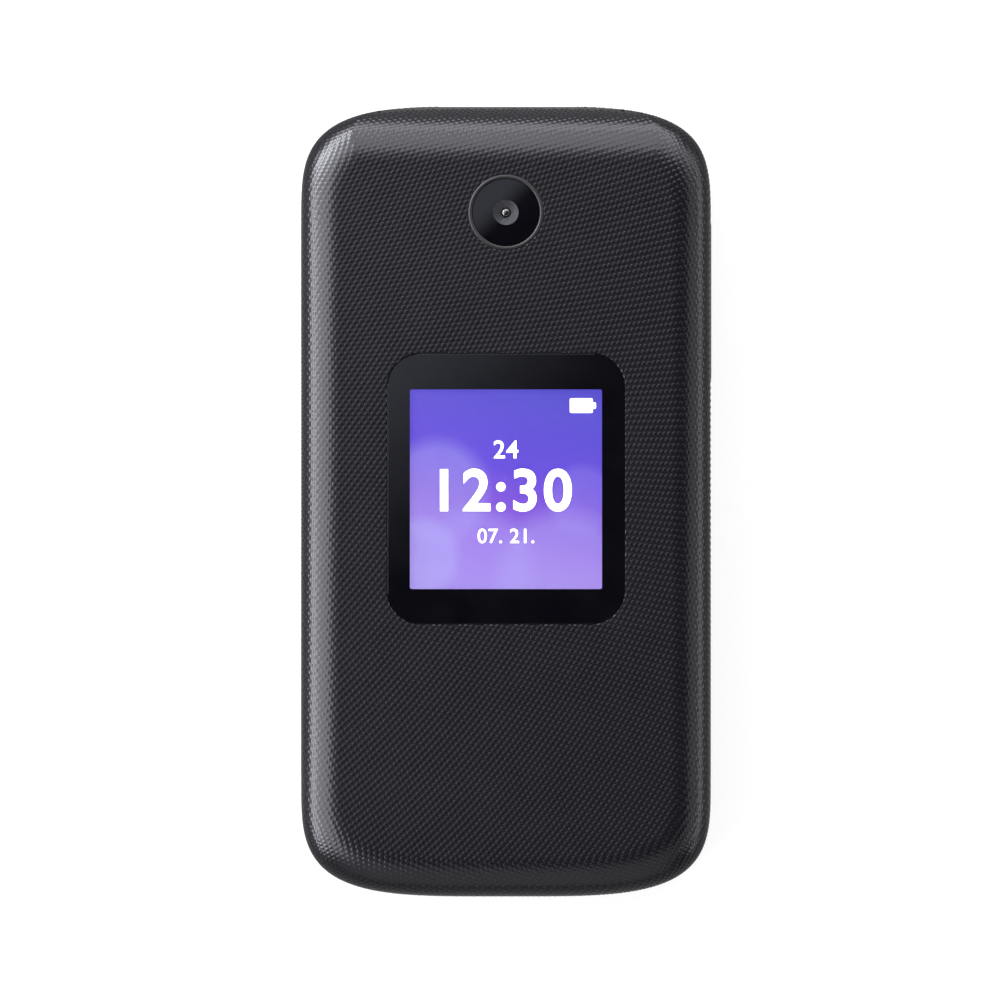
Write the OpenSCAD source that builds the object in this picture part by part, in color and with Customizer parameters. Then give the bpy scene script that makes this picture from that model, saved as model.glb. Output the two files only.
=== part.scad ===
// Flip phone, closed and lying on its back. Millimetres.
// +X is the right of the lid's outer face, +Y is the hinge end, +Z is out of the lid.
// The origin is on the back face, in the middle of the battery cover.

/* [Body] */
// Width of the closed phone
phone_w = 54.6; // [53.5:0.1:56]
// Length of the closed phone
phone_l = 105.3; // [104.5:0.1:108]
// Thickness over the camera ring
phone_t = 18.9; // [18.8:0.1:19.6]
// Depth along the length that an arched end takes
end_h = 16.17; // [15:0.01:18]
// Squareness of the ends across the width
end_p = 3.97; // [3.2:0.01:5]
// Squareness of the ends along the length
end_q = 3.79; // [3.2:0.01:5]
// Wall of the lid's outer cover
lid_skin = 1.2; // [1:0.05:1.4]
// Wall of the base's housings
base_skin = 1.4; // [1.2:0.05:1.5]
// How far the lid's outline stands outside the base's outline
lid_overhang = 0.25; // [0.2:0.05:0.4]
// Width of the rounded edge of the lid's face
roll_w = 5.2; // [4:0.1:5.6]
// Height of the rounded edge of the lid's face
roll_h = 4.3; // [3.5:0.1:4.8]
// Width of the rounded edge of the back
back_roll_w = 2.6; // [1.8:0.1:2.8]
// Height of the rounded edge of the back
back_roll_h = 2.8; // [2:0.1:3]
// Height of the top of the keypad face
base_top = 10.3; // [10.2:0.05:10.4]
// Gap between the closed lid and the keypad face
lid_gap = 0.2; // [0.15:0.05:0.3]
// Height of the seam between the rear and front housings
housing_seam = 7.2; // [7:0.05:7.3]

/* [Hinge] */
// Outer radius of the lid's hinge barrel
drum_r = 7.4; // [7.2:0.05:7.5]
// Gap between the barrel and the base's cradle
cradle_gap = 0.25; // [0.2:0.05:0.35]
// Angle below level where the outer cover's barrel skin ends
skin_end = 47; // [45:1:48]
// Height of the lip of the cradle
lip_z = 5.5; // [5.2:0.1:5.6]
// Radius of a hinge knuckle
knuckle_r = 4.3; // [4.1:0.05:4.4]
// Distance from the middle to the inner face of a knuckle
knuckle_in = 12; // [11.9:0.1:12.2]
// Distance from the middle to the outer face of a knuckle
knuckle_out = 20; // [19.6:0.1:20]
// Width of the arm that carries a knuckle
arm_w = 4.4; // [4:0.1:4.8]
// Thickness of the arm that carries a knuckle
arm_t = 1.8; // [1.6:0.1:1.8]
// Radius of the hinge cartridge
can_r = 2.8; // [2.7:0.05:2.9]
// Wall of the hinge cartridge
can_wall = 0.3; // [0.25:0.05:0.35]
// Radial clearance of parts that turn or slide in the hinge
turn_fit = 0.05; // [0.03:0.01:0.08]
// Radius of the cartridge's centre pin
mandrel_r = 0.9; // [0.8:0.05:0.95]
// Wire radius of the hinge spring
spring_wire_r = 0.28; // [0.25:0.01:0.3]
// Turns of the hinge spring
spring_turns = 5; // [4:1:5]

/* [Lid face] */
// Width of the outer window
window_w = 31.5; // [29.5:0.1:32.5]
// Length of the outer window
window_l = 35.9; // [34.6:0.1:37]
// Corner radius of the outer window
window_r = 4.5; // [3.5:0.1:5]
// Distance from the middle of the phone to the middle of the outer window
window_y = 1.63; // [1.4:0.01:1.8]
// Thickness of the outer window
window_t = 1.1; // [0.9:0.05:1.2]
// Distance from the hinge end to the middle of the camera
camera_down = 14.35; // [14.2:0.05:14.5]
// Outer radius of the camera ring
camera_ring_r = 5; // [4.8:0.05:5.2]
// Radius of the camera's glass disc
camera_glass_r = 4.5; // [4.3:0.05:4.6]
// How far the camera ring stands out of the face
ring_proud = 0.1; // [0.05:0.05:0.15]

/* [Displays] */
// Distance from the phone's side to the main display module
display_side = 2.3; // [2.2:0.05:2.8]
// Distance from the phone's hinge end to the main display module
display_top = 24.05; // [23.8:0.05:24.6]
// Distance from the phone's free end to the main display module
display_foot = 12.05; // [11.8:0.05:12.6]
// Border at each side of the main display's lit area
border_side = 3.4; // [3:0.1:4]
// Border at each end of the main display's lit area
border_end = 5.8; // [5.2:0.1:6.4]

/* [Keys] */
// Distance from the phone's side to the number keys
keypad_side = 3.6; // [3.3:0.05:3.8]
// Space between number keys across
key_space_x = 1.8; // [1.6:0.1:2.2]
// Space between number keys along
key_space_y = 2; // [1.7:0.1:2.4]
// Gap around each key in the keypad face
key_gap = 0.15; // [0.12:0.01:0.2]
// Travel of a key
key_travel = 0.3; // [0.2:0.05:0.3]
// Outer radius of the direction ring
ring_r = 11; // [10.5:0.1:11.1]
// Radius of the centre key
ok_r = 4.8; // [4.4:0.1:5]
// How far the direction ring sits below the keypad face
ring_drop = 0.1; // [0.08:0.01:0.14]
// Length of the volume key
rocker_l = 21.4; // [19:0.1:21.6]
// Distance from the hinge end to the middle of the volume key
rocker_down = 26; // [25.9:0.05:26.3]
// How far the volume key stands out past the lid
rocker_proud = 0.15; // [0.1:0.05:0.3]

/* [Battery and sockets] */
// Distance from the phone's side to the battery cover
cover_side = 4.3; // [4.2:0.05:5]
// Distance from the phone's end to the battery cover
cover_end = 16.65; // [16.5:0.05:17.5]
// Thickness of the battery cover
cover_t = 1; // [0.8:0.05:1.1]
// Distance from the phone's side to the battery
battery_side = 5.8; // [5.7:0.05:6.6]
// Distance from the phone's free end to the battery
battery_foot = 25.65; // [25.5:0.05:26.4]
// Distance from the phone's hinge end to the battery
battery_top = 29.65; // [29.6:0.05:30.4]
// Thickness of the battery
battery_t = 5.2; // [4.8:0.05:5.2]
// Gap around the battery in its bay
bay_gap = 0.2; // [0.15:0.05:0.25]
// Radius of the headset socket
jack_r = 1.8; // [1.78:0.01:1.84]
// Length of the headset socket's bore
jack_l = 13.5; // [13:0.1:14]
// Width of the charging port's mouth
port_w = 8.9; // [8.7:0.1:9.1]
// Height of the charging port's mouth
port_h = 3.2; // [3:0.05:3.3]

/* [Hidden] */
half_w = phone_w / 2;
half_l = phone_l / 2;
kx = phone_w / 54.6;
ky = phone_l / 105.3;
kz = phone_t / 18.9;
camera_y = half_l - camera_down;
rocker_y = half_l - rocker_down;
display_w = phone_w - 2 * display_side;
display_l = phone_l - display_top - display_foot;
display_y = (display_foot - display_top) / 2;
active_w = display_w - 2 * border_side;
active_l = display_l - 2 * border_end;
cover_w = phone_w - 2 * cover_side;
cover_l = phone_l - 2 * cover_end;
battery_w = phone_w - 2 * battery_side;
battery_l = phone_l - battery_foot - battery_top;
keypad_w = phone_w - 2 * keypad_side;
key_w = (keypad_w - 2 * key_space_x) / 3;
key_px = key_w + key_space_x;
key_py = 10.4 * ky;
key_l = key_py - key_space_y;
key_y = -3.4 * ky;
nav_y = 22 * ky;
lid_top = phone_t - ring_proud;
axis_y = half_l - drum_r - 0.05;
axis_z = lid_top - drum_r;
cradle_r = drum_r + cradle_gap;
lid_z = base_top + lid_gap;
inner_t = 1;
inner_z = lid_z + inner_t;
win_z = lid_top - window_t;
ledge_t = 0.7;
chassis_z = inner_z + 2.1;
chassis_t = 0.6;
lid_board_z = chassis_z + chassis_t;
board_t = 0.8;
outer_mod_z = lid_board_z + board_t;
base_w2 = half_w - lid_overhang;
battery_z = cover_t;
bay_z = battery_z + battery_t + 0.1;
bay_floor = 0.6;
main_z = bay_z + bay_floor + 0.1;
dome_z = main_z + board_t;
dome_t = 0.25;
mat_z = dome_z + 0.45;
mat_t = 0.2;
plunger_z = dome_z + dome_t + key_travel + 0.05;
plate_t = 0.85;
plate_z = base_top - plate_t;
flange_t = 0.5;
flange_w = 0.5;
arm_top = base_top - 0.1;
arm_c = (knuckle_in + knuckle_out) / 2;
slot_l = 1.8 * ky;
post_x = 22.2 * kx;
post_y0 = -44.5 * ky;
post_y1 = 33 * ky;
screw_r = 0.8;
bay_y = (battery_foot - battery_top) / 2;
bay_w2 = battery_w / 2 + bay_gap;
bay_l2 = battery_l / 2 + bay_gap;
jack_y = 30 * ky;
jack_z = 4.2 * kz;
port_z = 4.9 * kz;
rocker_z = 5 * kz;
rocker_h = 3 * kz;
rocker_pin_x = base_w2 - base_skin - 0.95;
cav_y1 = axis_y - cradle_r - 0.9;
boss_at = [[-20.5 * kx, -45 * ky], [20.5 * kx, -45 * ky], [-8.8 * kx, cav_y1 - 2.45], [19.2 * kx, cav_y1 - 2.25]];
soft_w = 10.1 * kx;
soft_x = keypad_w / 2 - soft_w / 2;
soft_y = 28.2 * ky;
soft_l = 7.2 * ky;
call_y = 17.4 * ky;
call_l = 8.2 * ky;
clear_y = 6.4 * ky;
clear_w = 12 * kx;
clear_l = 5 * ky;
sky = 60;
EPS = 0.01;

charcoal = [0.15, 0.15, 0.17];
dark = [0.1, 0.1, 0.11];
steel = [0.7, 0.7, 0.72];
pcb = [0.05, 0.3, 0.15];
glass = [0.03, 0.03, 0.04];
keycol = [0.2, 0.2, 0.22];

function sgnpow(v, e) = sign(v) * pow(abs(v), e);

// Plan outline of the phone, set in by d.
function outline(d, n = 64) = [
  for (i = [0 : n - 1])
    let (t = 360 * i / n, c = cos(t), s = sin(t), h = end_h - d)
      [(half_w - d) * sgnpow(c, 2 / end_p),
       (s == 0 ? 0 : sign(s) * (half_l - end_h)) + h * sgnpow(s, 2 / end_q)]
];

function rrect(w, l, r, n = 6) = [
  for (q = [0 : 3], i = [0 : n])
    let (t = 90 * q + 90 * i / n,
         sx = (q == 0 || q == 3) ? 1 : -1,
         sy = q < 2 ? 1 : -1)
      [sx * (w / 2 - r) + r * cos(t), sy * (l / 2 - r) + r * sin(t)]
];

function flat(lists) = [for (l = lists, v = l) v];

module plan(d, z0, z1) {
  translate([0, 0, z0])
    linear_extrude(z1 - z0)
      polygon(outline(d));
}

module slab(w, l, z0, z1, r = 0.6, x = 0, y = 0) {
  translate([x, y, z0])
    linear_extrude(z1 - z0)
      polygon(rrect(w, l, r));
}

module block(x0, x1, y0, y1, z0, z1) {
  translate([x0, y0, z0])
    cube([x1 - x0, y1 - y0, z1 - z0]);
}

module rod(r, z0, z1, x = 0, y = 0, fn = 48) {
  translate([x, y, z0])
    cylinder(r = r, h = z1 - z0, $fn = fn);
}

module tube(ro, ri, z0, z1, x = 0, y = 0) {
  difference() {
    rod(ro, z0, z1, x, y);
    rod(ri, z0 - 1, z1 + 1, x, y);
  }
}

// A cylinder on the hinge axis.
module drum(r, x0, x1, fn = 96) {
  translate([x0, axis_y, axis_z])
    rotate([0, 90, 0])
      cylinder(r = r, h = x1 - x0, $fn = fn);
}

// A smooth skin through outlines: each ring is [height, inset].
module loft(rings) {
  n = 64;
  k = len(rings);
  pts = flat([for (r = rings) [for (p = outline(r[1], n)) [p[0], p[1], r[0]]]]);
  sides = flat([
    for (j = [0 : k - 2], i = [0 : n - 1])
      let (a = j * n + i, b = j * n + (i + 1) % n, c = a + n, d = b + n)
        [[a, c, b], [b, c, d]]
  ]);
  bottom = [[for (i = [0 : n - 1]) i]];
  top = [[for (i = [n - 1 : -1 : 0]) (k - 1) * n + i]];
  polyhedron(points = pts, faces = concat(bottom, sides, top), convexity = 4);
}

function roll_up(z0, z1, d, w, h, n = 5) = concat(
  [[z0, d]],
  [for (i = [0 : n]) let (t = 90 * i / n) [z1 - h + h * sin(t), d + w * (1 - cos(t))]]
);

function roll_down(z0, z1, d, w, h, n = 4) = concat(
  [for (i = [0 : n]) let (t = 90 - 90 * i / n) [z0 + h - h * sin(t), d + w * (1 - cos(t))]],
  [[z1, d]]
);

// ---------------------------------------------------------------- lid

module barrel_solid(r, d) {
  intersection() {
    drum(r, -half_w - 1, half_w + 1);
    plan(d, 0, sky);
  }
}

module lid_outer() {
  intersection() {
    loft(roll_up(lid_z, lid_top, 0, roll_w, roll_h));
    union() {
      block(-sky, sky, -sky, axis_y, 0, sky);
      drum(drum_r, -sky, sky);
    }
  }
}

module lid_inner() {
  intersection() {
    loft(roll_up(lid_z - 1, lid_top - lid_skin, lid_skin, roll_w - 0.6, roll_h - 0.5));
    union() {
      block(-sky, sky, -sky, axis_y, 0, sky);
      drum(drum_r - lid_skin, -sky, sky);
    }
  }
}

// The part of the barrel's skin below the lid's edge, hinge side only.
module skin_wedge() {
  translate([-sky, axis_y, axis_z])
    rotate([-skin_end, 0, 0])
      cube([2 * sky, 20, 20]);
}

module arm_slots() {
  for (s = [-1, 1])
    block(s * arm_c - arm_w / 2 - 0.3, s * arm_c + arm_w / 2 + 0.3,
          axis_y - drum_r - 1, sky, -1, axis_z + 0.8);
}

module lid_cover() {
  color(charcoal)
    difference() {
      union() {
        difference() {
          lid_outer();
          lid_inner();
        }
        intersection() {
          difference() {
            barrel_solid(drum_r, 0);
            barrel_solid(drum_r - lid_skin, lid_skin);
          }
          skin_wedge();
          block(-sky, sky, axis_y, sky, 0, lid_z + 0.5);
        }
        slab(window_w + 3, window_l + 3, win_z - ledge_t, lid_top - lid_skin + EPS, window_r, 0, window_y);
        tube(camera_ring_r + 0.8, camera_ring_r, lid_top - lid_skin - 0.4, lid_top - 0.5, 0, camera_y);
        for (s = [-1, 1], y = [post_y0, post_y1])
          rod(1.8, inner_z + 0.7, lid_top - lid_skin + 0.4, s * post_x, y, 32);
      }
      slab(window_w + 0.1, window_l + 0.1, win_z, sky, window_r, 0, window_y);
      slab(window_w - 2.4, window_l - 2.4, 12, sky, window_r - 1.2, 0, window_y);
      rod(camera_ring_r, 12, sky, 0, camera_y);
      for (s = [-1, 1], y = [post_y0, post_y1])
        rod(screw_r, 10, lid_top - 2.6, s * post_x, y, 24);
      difference() {
        arm_slots();
        block(-sky, sky, -sky, axis_y, -2 * kz, sky);
      }
    }
}

module outer_window() {
  color(glass)
    slab(window_w, window_l, win_z, lid_top, window_r, 0, window_y);
}

module outer_display() {
  color(dark)
    union() {
      slab(29 * kx, 32.4 * ky, outer_mod_z, outer_mod_z + 1.8, 0.5, 0, window_y);
      slab(28 * kx, 30.4 * ky, outer_mod_z + 1.7, win_z, 0.4, 0, window_y);
    }
}

module camera_ring() {
  color(steel)
    difference() {
      rod(camera_ring_r, win_z - 0.4, phone_t, 0, camera_y, 64);
      rod(camera_glass_r, win_z, sky, 0, camera_y, 64);
      rod(3.6, 0, sky, 0, camera_y, 48);
    }
}

module camera_glass() {
  color(glass)
    rod(camera_glass_r, win_z, lid_top - 0.1, 0, camera_y, 64);
}

module camera_module() {
  color(dark)
    difference() {
      union() {
        slab(7 * kx, 7 * ky, lid_board_z, lid_board_z + 2.2, 0.4, 0, camera_y);
        rod(3.2, lid_board_z + 2.1, win_z - 0.4, 0, camera_y);
      }
      rod(1.65, win_z - 1.6, sky, 0, camera_y);
    }
}

module camera_lens() {
  color(glass)
    union() {
      rod(1.65, win_z - 1.6, win_z - 0.7, 0, camera_y);
      rod(1.2, win_z - 0.75, win_z - 0.3, 0, camera_y);
    }
}

module lid_chassis() {
  color(steel)
    difference() {
      union() {
        block(-24.6 * kx, 24.6 * kx, -46 * ky, 35.8 * ky, chassis_z, lid_board_z);
        block(-5 * kx, 5 * kx, 35 * ky, camera_y + 3.6, chassis_z, lid_board_z);
        for (s = [-1, 1])
          intersection() {
            union() {
              drum(knuckle_r, s > 0 ? 5 : -knuckle_in + 0.4, s > 0 ? knuckle_in - 0.4 : -0.6, 64);
              block(s > 0 ? 5 : -10, s > 0 ? 10 : -0.6, 34 * ky, axis_y, axis_z + 0.8, lid_board_z);
            }
            block(-sky, sky, 0, sky, 0, sky);
          }
      }
      drum(can_r, -knuckle_in - 1, -0.9, 64);
      drum(can_r, 1, knuckle_in + 1, 64);
      for (s = [-1, 1], y = [post_y0, post_y1])
        rod(2.1, 0, sky, s * post_x, y, 32);
      block(0.5, 5.1 * kx, 33 * ky, 34.6 * ky, 0, sky);
      block(-5.4 * kx, 5.4 * kx, -sky, -42.6 * ky, 0, sky);
    }
}

module main_display() {
  color(dark)
    union() {
      slab(display_w, display_l, inner_z + 0.5, chassis_z, 0.5, 0, display_y);
      slab(display_w - 2, display_l - 5, inner_z, inner_z + 0.6, 0.4, 0, display_y + 1);
    }
}

module inner_window() {
  color(glass)
    slab(display_w - 1.2, display_l, lid_z + 0.02, lid_z + 0.6, 1.5, 0, display_y);
}

module lid_inner_cover() {
  color(charcoal)
    difference() {
      union() {
        intersection() {
          plan(lid_skin + 0.05, lid_z, inner_z);
          block(-sky, sky, -sky, axis_y - drum_r + lid_skin + 0.05, 0, sky);
        }
        for (s = [-1, 1], y = [post_y0, post_y1])
          rod(2.1, lid_z, inner_z + 0.7, s * post_x, y, 32);
        difference() {
          barrel_solid(drum_r, 0);
          barrel_solid(drum_r - lid_skin, lid_skin);
          block(-sky, sky, -sky, sky, lid_z, sky);
          skin_wedge();
          block(-sky, sky, axis_y, sky, axis_z - drum_r * sin(skin_end) * 0.2, sky);
        }
      }
      slab(display_w - 1.1, display_l + 0.1, 0, lid_z + 0.6, 1.5, 0, display_y);
      slab(active_w + 1, active_l + 1, 0, sky, 0.6, 0, display_y);
      for (s = [-1, 1], y = [post_y0, post_y1]) {
        rod(1.6, 0, inner_z, s * post_x, y, 32);
        rod(screw_r, 0, sky, s * post_x, y, 24);
      }
      slab(9.2 * kx, slot_l, 0, sky, 0.47 * slot_l, 0, -46.2 * ky);
      for (s = [-1, 1])
        rod(1.5, 0, lid_z + 0.4, s * 12 * kx, -47.6 * ky, 32);
      arm_slots();
    }
}

module earpiece() {
  color(steel)
    slab(10.5 * kx, 6 * ky, inner_z, chassis_z, 1, 0, -46.2 * ky);
}

module earpiece_mesh() {
  color(steel)
    difference() {
      slab(9.2 * kx, slot_l, lid_z + 0.3, inner_z, 0.47 * slot_l, 0, -46.2 * ky);
      for (i = [-6 : 6])
        rod(0.2, 0, sky, i * 0.62 * kx, -46.2 * ky - 0.19 * slot_l, 16);
      for (i = [-6 : 6])
        rod(0.2, 0, sky, i * 0.62 * kx, -46.2 * ky + 0.19 * slot_l, 16);
    }
}

module lid_board() {
  color(pcb)
    difference() {
      block(-21 * kx, 21 * kx, -41 * ky, 30.5 * ky, lid_board_z, outer_mod_z);
      slab(6 * kx, 9 * ky, 0, sky, 0.6, 0, -42 * ky);
    }
}

module lid_screws() {
  color(steel)
    for (s = [-1, 1], y = [post_y0, post_y1])
      difference() {
        union() {
          rod(1.45, inner_z - 0.6, inner_z, s * post_x, y, 32);
          rod(screw_r - 0.02, inner_z - 0.1, inner_z + 4.2, s * post_x, y, 24);
        }
        block(s * post_x - 0.15, s * post_x + 0.15, y - 0.7, y + 0.7, 0, inner_z - 0.3);
        block(s * post_x - 0.7, s * post_x + 0.7, y - 0.15, y + 0.15, 0, inner_z - 0.3);
      }
}

module screw_plugs() {
  color(dark)
    for (s = [-1, 1], y = [post_y0, post_y1])
      rod(1.55, lid_z, inner_z - 0.6, s * post_x, y, 32);
}

module lid_bumpers() {
  color(dark)
    for (s = [-1, 1])
      rod(1.45, lid_z - 0.15, lid_z + 0.4, s * 12 * kx, -47.6 * ky, 32);
}

// ---------------------------------------------------------------- hinge

module hinge_can() {
  color(steel)
    difference() {
      drum(can_r, -knuckle_in + 0.6, -0.9, 64);
      drum(can_r - can_wall, -knuckle_in - 1, -1.3, 64);
      drum(mandrel_r + turn_fit, -knuckle_in, 0, 48);
    }
}

module hinge_cam() {
  color(steel)
    difference() {
      drum(can_r - can_wall, -9.4, -7.8, 64);
      drum(mandrel_r + turn_fit, -12, 0, 48);
    }
}

// One unbroken wire, with the free gap between turns larger than 0.4.
module hinge_spring() {
  sides = 10;
  steps = 20;
  x0 = -7.8 + spring_wire_r;
  x1 = -1.3 - spring_wire_r;
  coil_r = can_r - can_wall - spring_wire_r - 0.12;
  pitch = (x1 - x0) / spring_turns;
  echo(least_gap_between_turns = pitch - 2 * spring_wire_r);
  m = spring_turns * steps;
  pts = [
    for (j = [0 : m], i = [0 : sides - 1])
      let (a = 360 * j / steps, b = 360 * i / sides,
           rr = coil_r + spring_wire_r * cos(b))
        [x0 + (x1 - x0) * j / m + spring_wire_r * sin(b),
         axis_y + rr * cos(a), axis_z + rr * sin(a)]
  ];
  walls = flat([
    for (j = [0 : m - 1], i = [0 : sides - 1])
      let (a = j * sides + i, b = j * sides + (i + 1) % sides, c = a + sides, d = b + sides)
        [[a, b, c], [b, d, c]]
  ]);
  caps = [
    [for (i = [sides - 1 : -1 : 0]) i],
    [for (i = [0 : sides - 1]) m * sides + i]
  ];
  color(steel)
    polyhedron(points = pts, faces = concat(walls, caps), convexity = 8);
}

module hinge_shaft() {
  color(steel)
    union() {
      intersection() {
        drum(can_r - 0.1, -knuckle_out + 0.8, -knuckle_in, 64);
        block(-sky, sky, axis_y - 2, axis_y + 2, 0, sky);
      }
      drum(can_r - can_wall - turn_fit, -knuckle_in, -9.5, 64);
      drum(mandrel_r, -9.6, -1, 48);
    }
}

module hinge_bush() {
  color(steel)
    difference() {
      drum(can_r, 5.2, 15, 64);
      drum(2.2, 0, 20, 64);
    }
}

module display_flex() {
  color([0.75, 0.45, 0.1])
    union() {
      difference() {
        drum(1.6, 0.8, 18.4, 48);
        drum(1.4, 0, 20, 48);
      }
      block(0.8, 4.8 * kx, 33.8 * ky, axis_y, axis_z + 1.4, axis_z + 1.6);
      block(0.8, 4.8 * kx, 33.8 * ky, 34 * ky, axis_z + 1.4, outer_mod_z + 0.2);
      block(0.8, 4.8 * kx, 29.8 * ky, 34 * ky, outer_mod_z, outer_mod_z + 0.2);
      block(arm_c - 0.9, arm_c + 2, 34.4 * ky, axis_y, axis_z - 1.6, axis_z - 1.4);
      block(arm_c - 0.9, arm_c + 2, 34.4 * ky, 34.6 * ky, dome_z, axis_z - 1.4);
    }
}

// ---------------------------------------------------------------- base

module cradle_cut() {
  drum(cradle_r, -sky, sky);
  block(-sky, sky, axis_y, sky, lip_z, sky);
}

module knuckles() {
  for (s = [-1, 1]) {
    difference() {
      union() {
        translate([s > 0 ? 0 : -knuckle_in - knuckle_out, 0, 0])
          drum(knuckle_r, knuckle_in, knuckle_out, 64);
        block(s * arm_c - arm_w / 2, s * arm_c + arm_w / 2, axis_y - cradle_r - 1.5, axis_y - 2.6,
              arm_top - arm_t, arm_top);
      }
      if (s > 0) {
        drum(can_r + turn_fit, 0, 15.1, 64);
        drum(2, 15, 18.6, 48);
        block(arm_c - 1.1, arm_c + 2.1, 20 * ky, axis_y, axis_z - 1.7, axis_z - 1.3);
      } else {
        intersection() {
          drum(can_r - 0.08, -knuckle_out + 0.78, 0, 64);
          block(-sky, sky, axis_y - 2.02, axis_y + 2.02, 0, sky);
        }
      }
    }
  }
}

module key_hole(w, l, r, x, y) {
  slab(w + 2 * key_gap, l + 2 * key_gap, 0, sky, r + key_gap, x, y);
}

module key_cap(w, l, r, x, y) {
  difference() {
    union() {
      slab(w, l, plate_z - 0.1, base_top, r, x, y);
      slab(w + 2 * flange_w, l + 2 * flange_w, plate_z - flange_t, plate_z, r, x, y);
      rod(1.2, plunger_z, plate_z - flange_t + 0.1, x, y, 32);
    }
  }
}

module front_housing() {
  color(charcoal)
    difference() {
      union() {
        difference() {
          plan(lid_overhang, housing_seam, base_top);
          difference() {
            plan(lid_overhang + base_skin, housing_seam - 1, plate_z);
            block(-sky, sky, cav_y1, sky, 0, sky);
          }
          cradle_cut();
        }
        for (p = boss_at)
          rod(1.7, dome_z, plate_z + 0.1, p[0], p[1], 32);
        knuckles();
      }
      for (c = [-1 : 1], r = [0 : 3])
        key_hole(key_w, key_l, 1.2, c * key_px, key_y - r * key_py);
      for (s = [-1, 1]) {
        key_hole(soft_w, soft_l, 1.2, s * soft_x, soft_y);
        key_hole(soft_w, call_l, 1.2, s * soft_x, call_y);
      }
      key_hole(clear_w, clear_l, 1, 0, clear_y);
      rod(ring_r + 0.3, 0, sky, 0, nav_y, 96);
      rod(0.5, 0, sky, 14 * kx, -47.6 * ky, 24);
      for (p = boss_at)
        rod(screw_r, 0, base_top - 0.6, p[0], p[1], 24);
      block(arm_c - 1.1, arm_c + 2.1, 34.2 * ky, axis_y - 2, axis_z - 1.7, axis_z - 1.3);
      block(arm_c - 1.1, arm_c + 2.1, 34.2 * ky, 34.8 * ky, 0, axis_z - 1.3);
      block(base_w2 - base_skin - 0.3, sky, rocker_y - rocker_l / 2 - 0.15,
            rocker_y + rocker_l / 2 + 0.15, 0, rocker_z + rocker_h / 2 + 0.15);
    }
}

module rear_housing() {
  color(charcoal)
    difference() {
      union() {
        difference() {
          loft(roll_down(0, housing_seam, lid_overhang, back_roll_w, back_roll_h));
          difference() {
            plan(lid_overhang + base_skin, 2.2, sky);
            block(-sky, sky, cav_y1, sky, 0, sky);
          }
          block(-half_w + 3, half_w - 3, -46 * ky, cav_y1 - 0.8, 1.2 + EPS, 4 * kz);
          block(-18 * kx, 18 * kx, cav_y1 + 1, half_l - 2.65, 1.4 * kz, 2.9 * kz);
          block(-18 * kx, 18 * kx, cav_y1 - 2, cav_y1 + 2, 1.8 * kz, 2.9 * kz);
          cradle_cut();
        }
        block(-cover_w / 2 - 0.8, cover_w / 2 + 0.8, -cover_l / 2 - 0.8, cover_l / 2 + 0.3, 0.8, cover_t + 0.8);
        block(-bay_w2 - 0.8, bay_w2 + 0.8, bay_y - bay_l2 - 0.8, bay_y + bay_l2 + 0.8, 0.8, bay_z + bay_floor);
        for (p = boss_at)
          rod(2, 1, main_z, p[0], p[1], 32);
        block(-19.2 * kx, -4.8 * kx, -48.6 * ky, -37.4 * ky, 1, 2.2 * kz);
        block(rocker_pin_x - 2, rocker_pin_x, rocker_y - 0.9, rocker_y + 0.9, 1.2 * kz, rocker_z + 1.4);
      }
      slab(cover_w + 0.1, cover_l + 0.1, -1, cover_t, 3, 0, 0);
      block(-bay_w2, bay_w2, bay_y - bay_l2, bay_y + bay_l2, -1, bay_z);
      block(3 * kx, 16.3 * kx, bay_y + bay_l2 + 1.4, cav_y1 - 1.45, -1, 2.6 * kz);
      for (i = [-1 : 1])
        block(i * 4 - 0.85, i * 4 + 0.85, bay_y + bay_l2 - 1, bay_y + bay_l2 + 0.9, 2.3 * kz, sky);
      for (x = [-17 : 2 : -7], y = [-47 : 2 : -39])
        rod(0.45, -1, 2.6 * kz, x * kx, y * ky, 16);
      for (p = boss_at) {
        rod(1.5, -1, 2.1 * kz, p[0], p[1], 32);
        rod(screw_r + 0.05, -1, sky, p[0], p[1], 24);
      }
      translate([-half_w - 1, jack_y, jack_z])
        rotate([0, 90, 0])
          cylinder(r = 2.9, h = 4, $fn = 48);
      block(-base_w2 + base_skin, -base_w2 + base_skin + 12.6, jack_y - 3.1, jack_y + 3.1, 1.4 * kz, sky);
      translate([0, -half_l - 1, port_z])
        rotate([-90, 0, 0])
          linear_extrude(8)
            polygon(rrect(port_w + 0.9, port_h + 0.9, 1.9));
      block(base_w2 - base_skin - 0.5, sky, rocker_y - rocker_l / 2 - 0.15, rocker_y + rocker_l / 2 + 0.15,
            rocker_z - rocker_h / 2 - 0.15, rocker_z + rocker_h / 2 + 0.15);
      block(base_w2 - base_skin - 1.3, base_w2 - base_skin, rocker_y - rocker_l / 2 - 0.9,
            rocker_y + rocker_l / 2 + 0.9, rocker_z - rocker_h / 2 - 0.5, rocker_z + rocker_h / 2 + 0.5);
      rod(0.55, rocker_z - rocker_h / 2 - 0.3, sky, rocker_pin_x, rocker_y, 32);
    }
}

module battery_cover() {
  color(charcoal)
    difference() {
      slab(cover_w, cover_l, 0, cover_t, 2.95, 0, 0);
      slab(9 * kx, 2.4 * ky, -1, 0.4, 1.1, 0, -cover_l / 2 + 3.4);
    }
}

module battery() {
  color([0.16, 0.17, 0.2])
    slab(battery_w, battery_l, battery_z, battery_z + battery_t, 1, 0, bay_y);
}

module battery_contacts() {
  color([0.85, 0.7, 0.35])
    for (i = [-1 : 1])
      union() {
        block(i * 4 - 0.8, i * 4 + 0.8, bay_y + battery_l / 2 + 0.02, bay_y + bay_l2 + 0.85, 3 * kz, 4.6 * kz);
        block(i * 4 - 0.8, i * 4 + 0.8, bay_y + bay_l2 + 0.3, bay_y + bay_l2 + 0.85, 2.4 * kz, main_z);
      }
}

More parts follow.
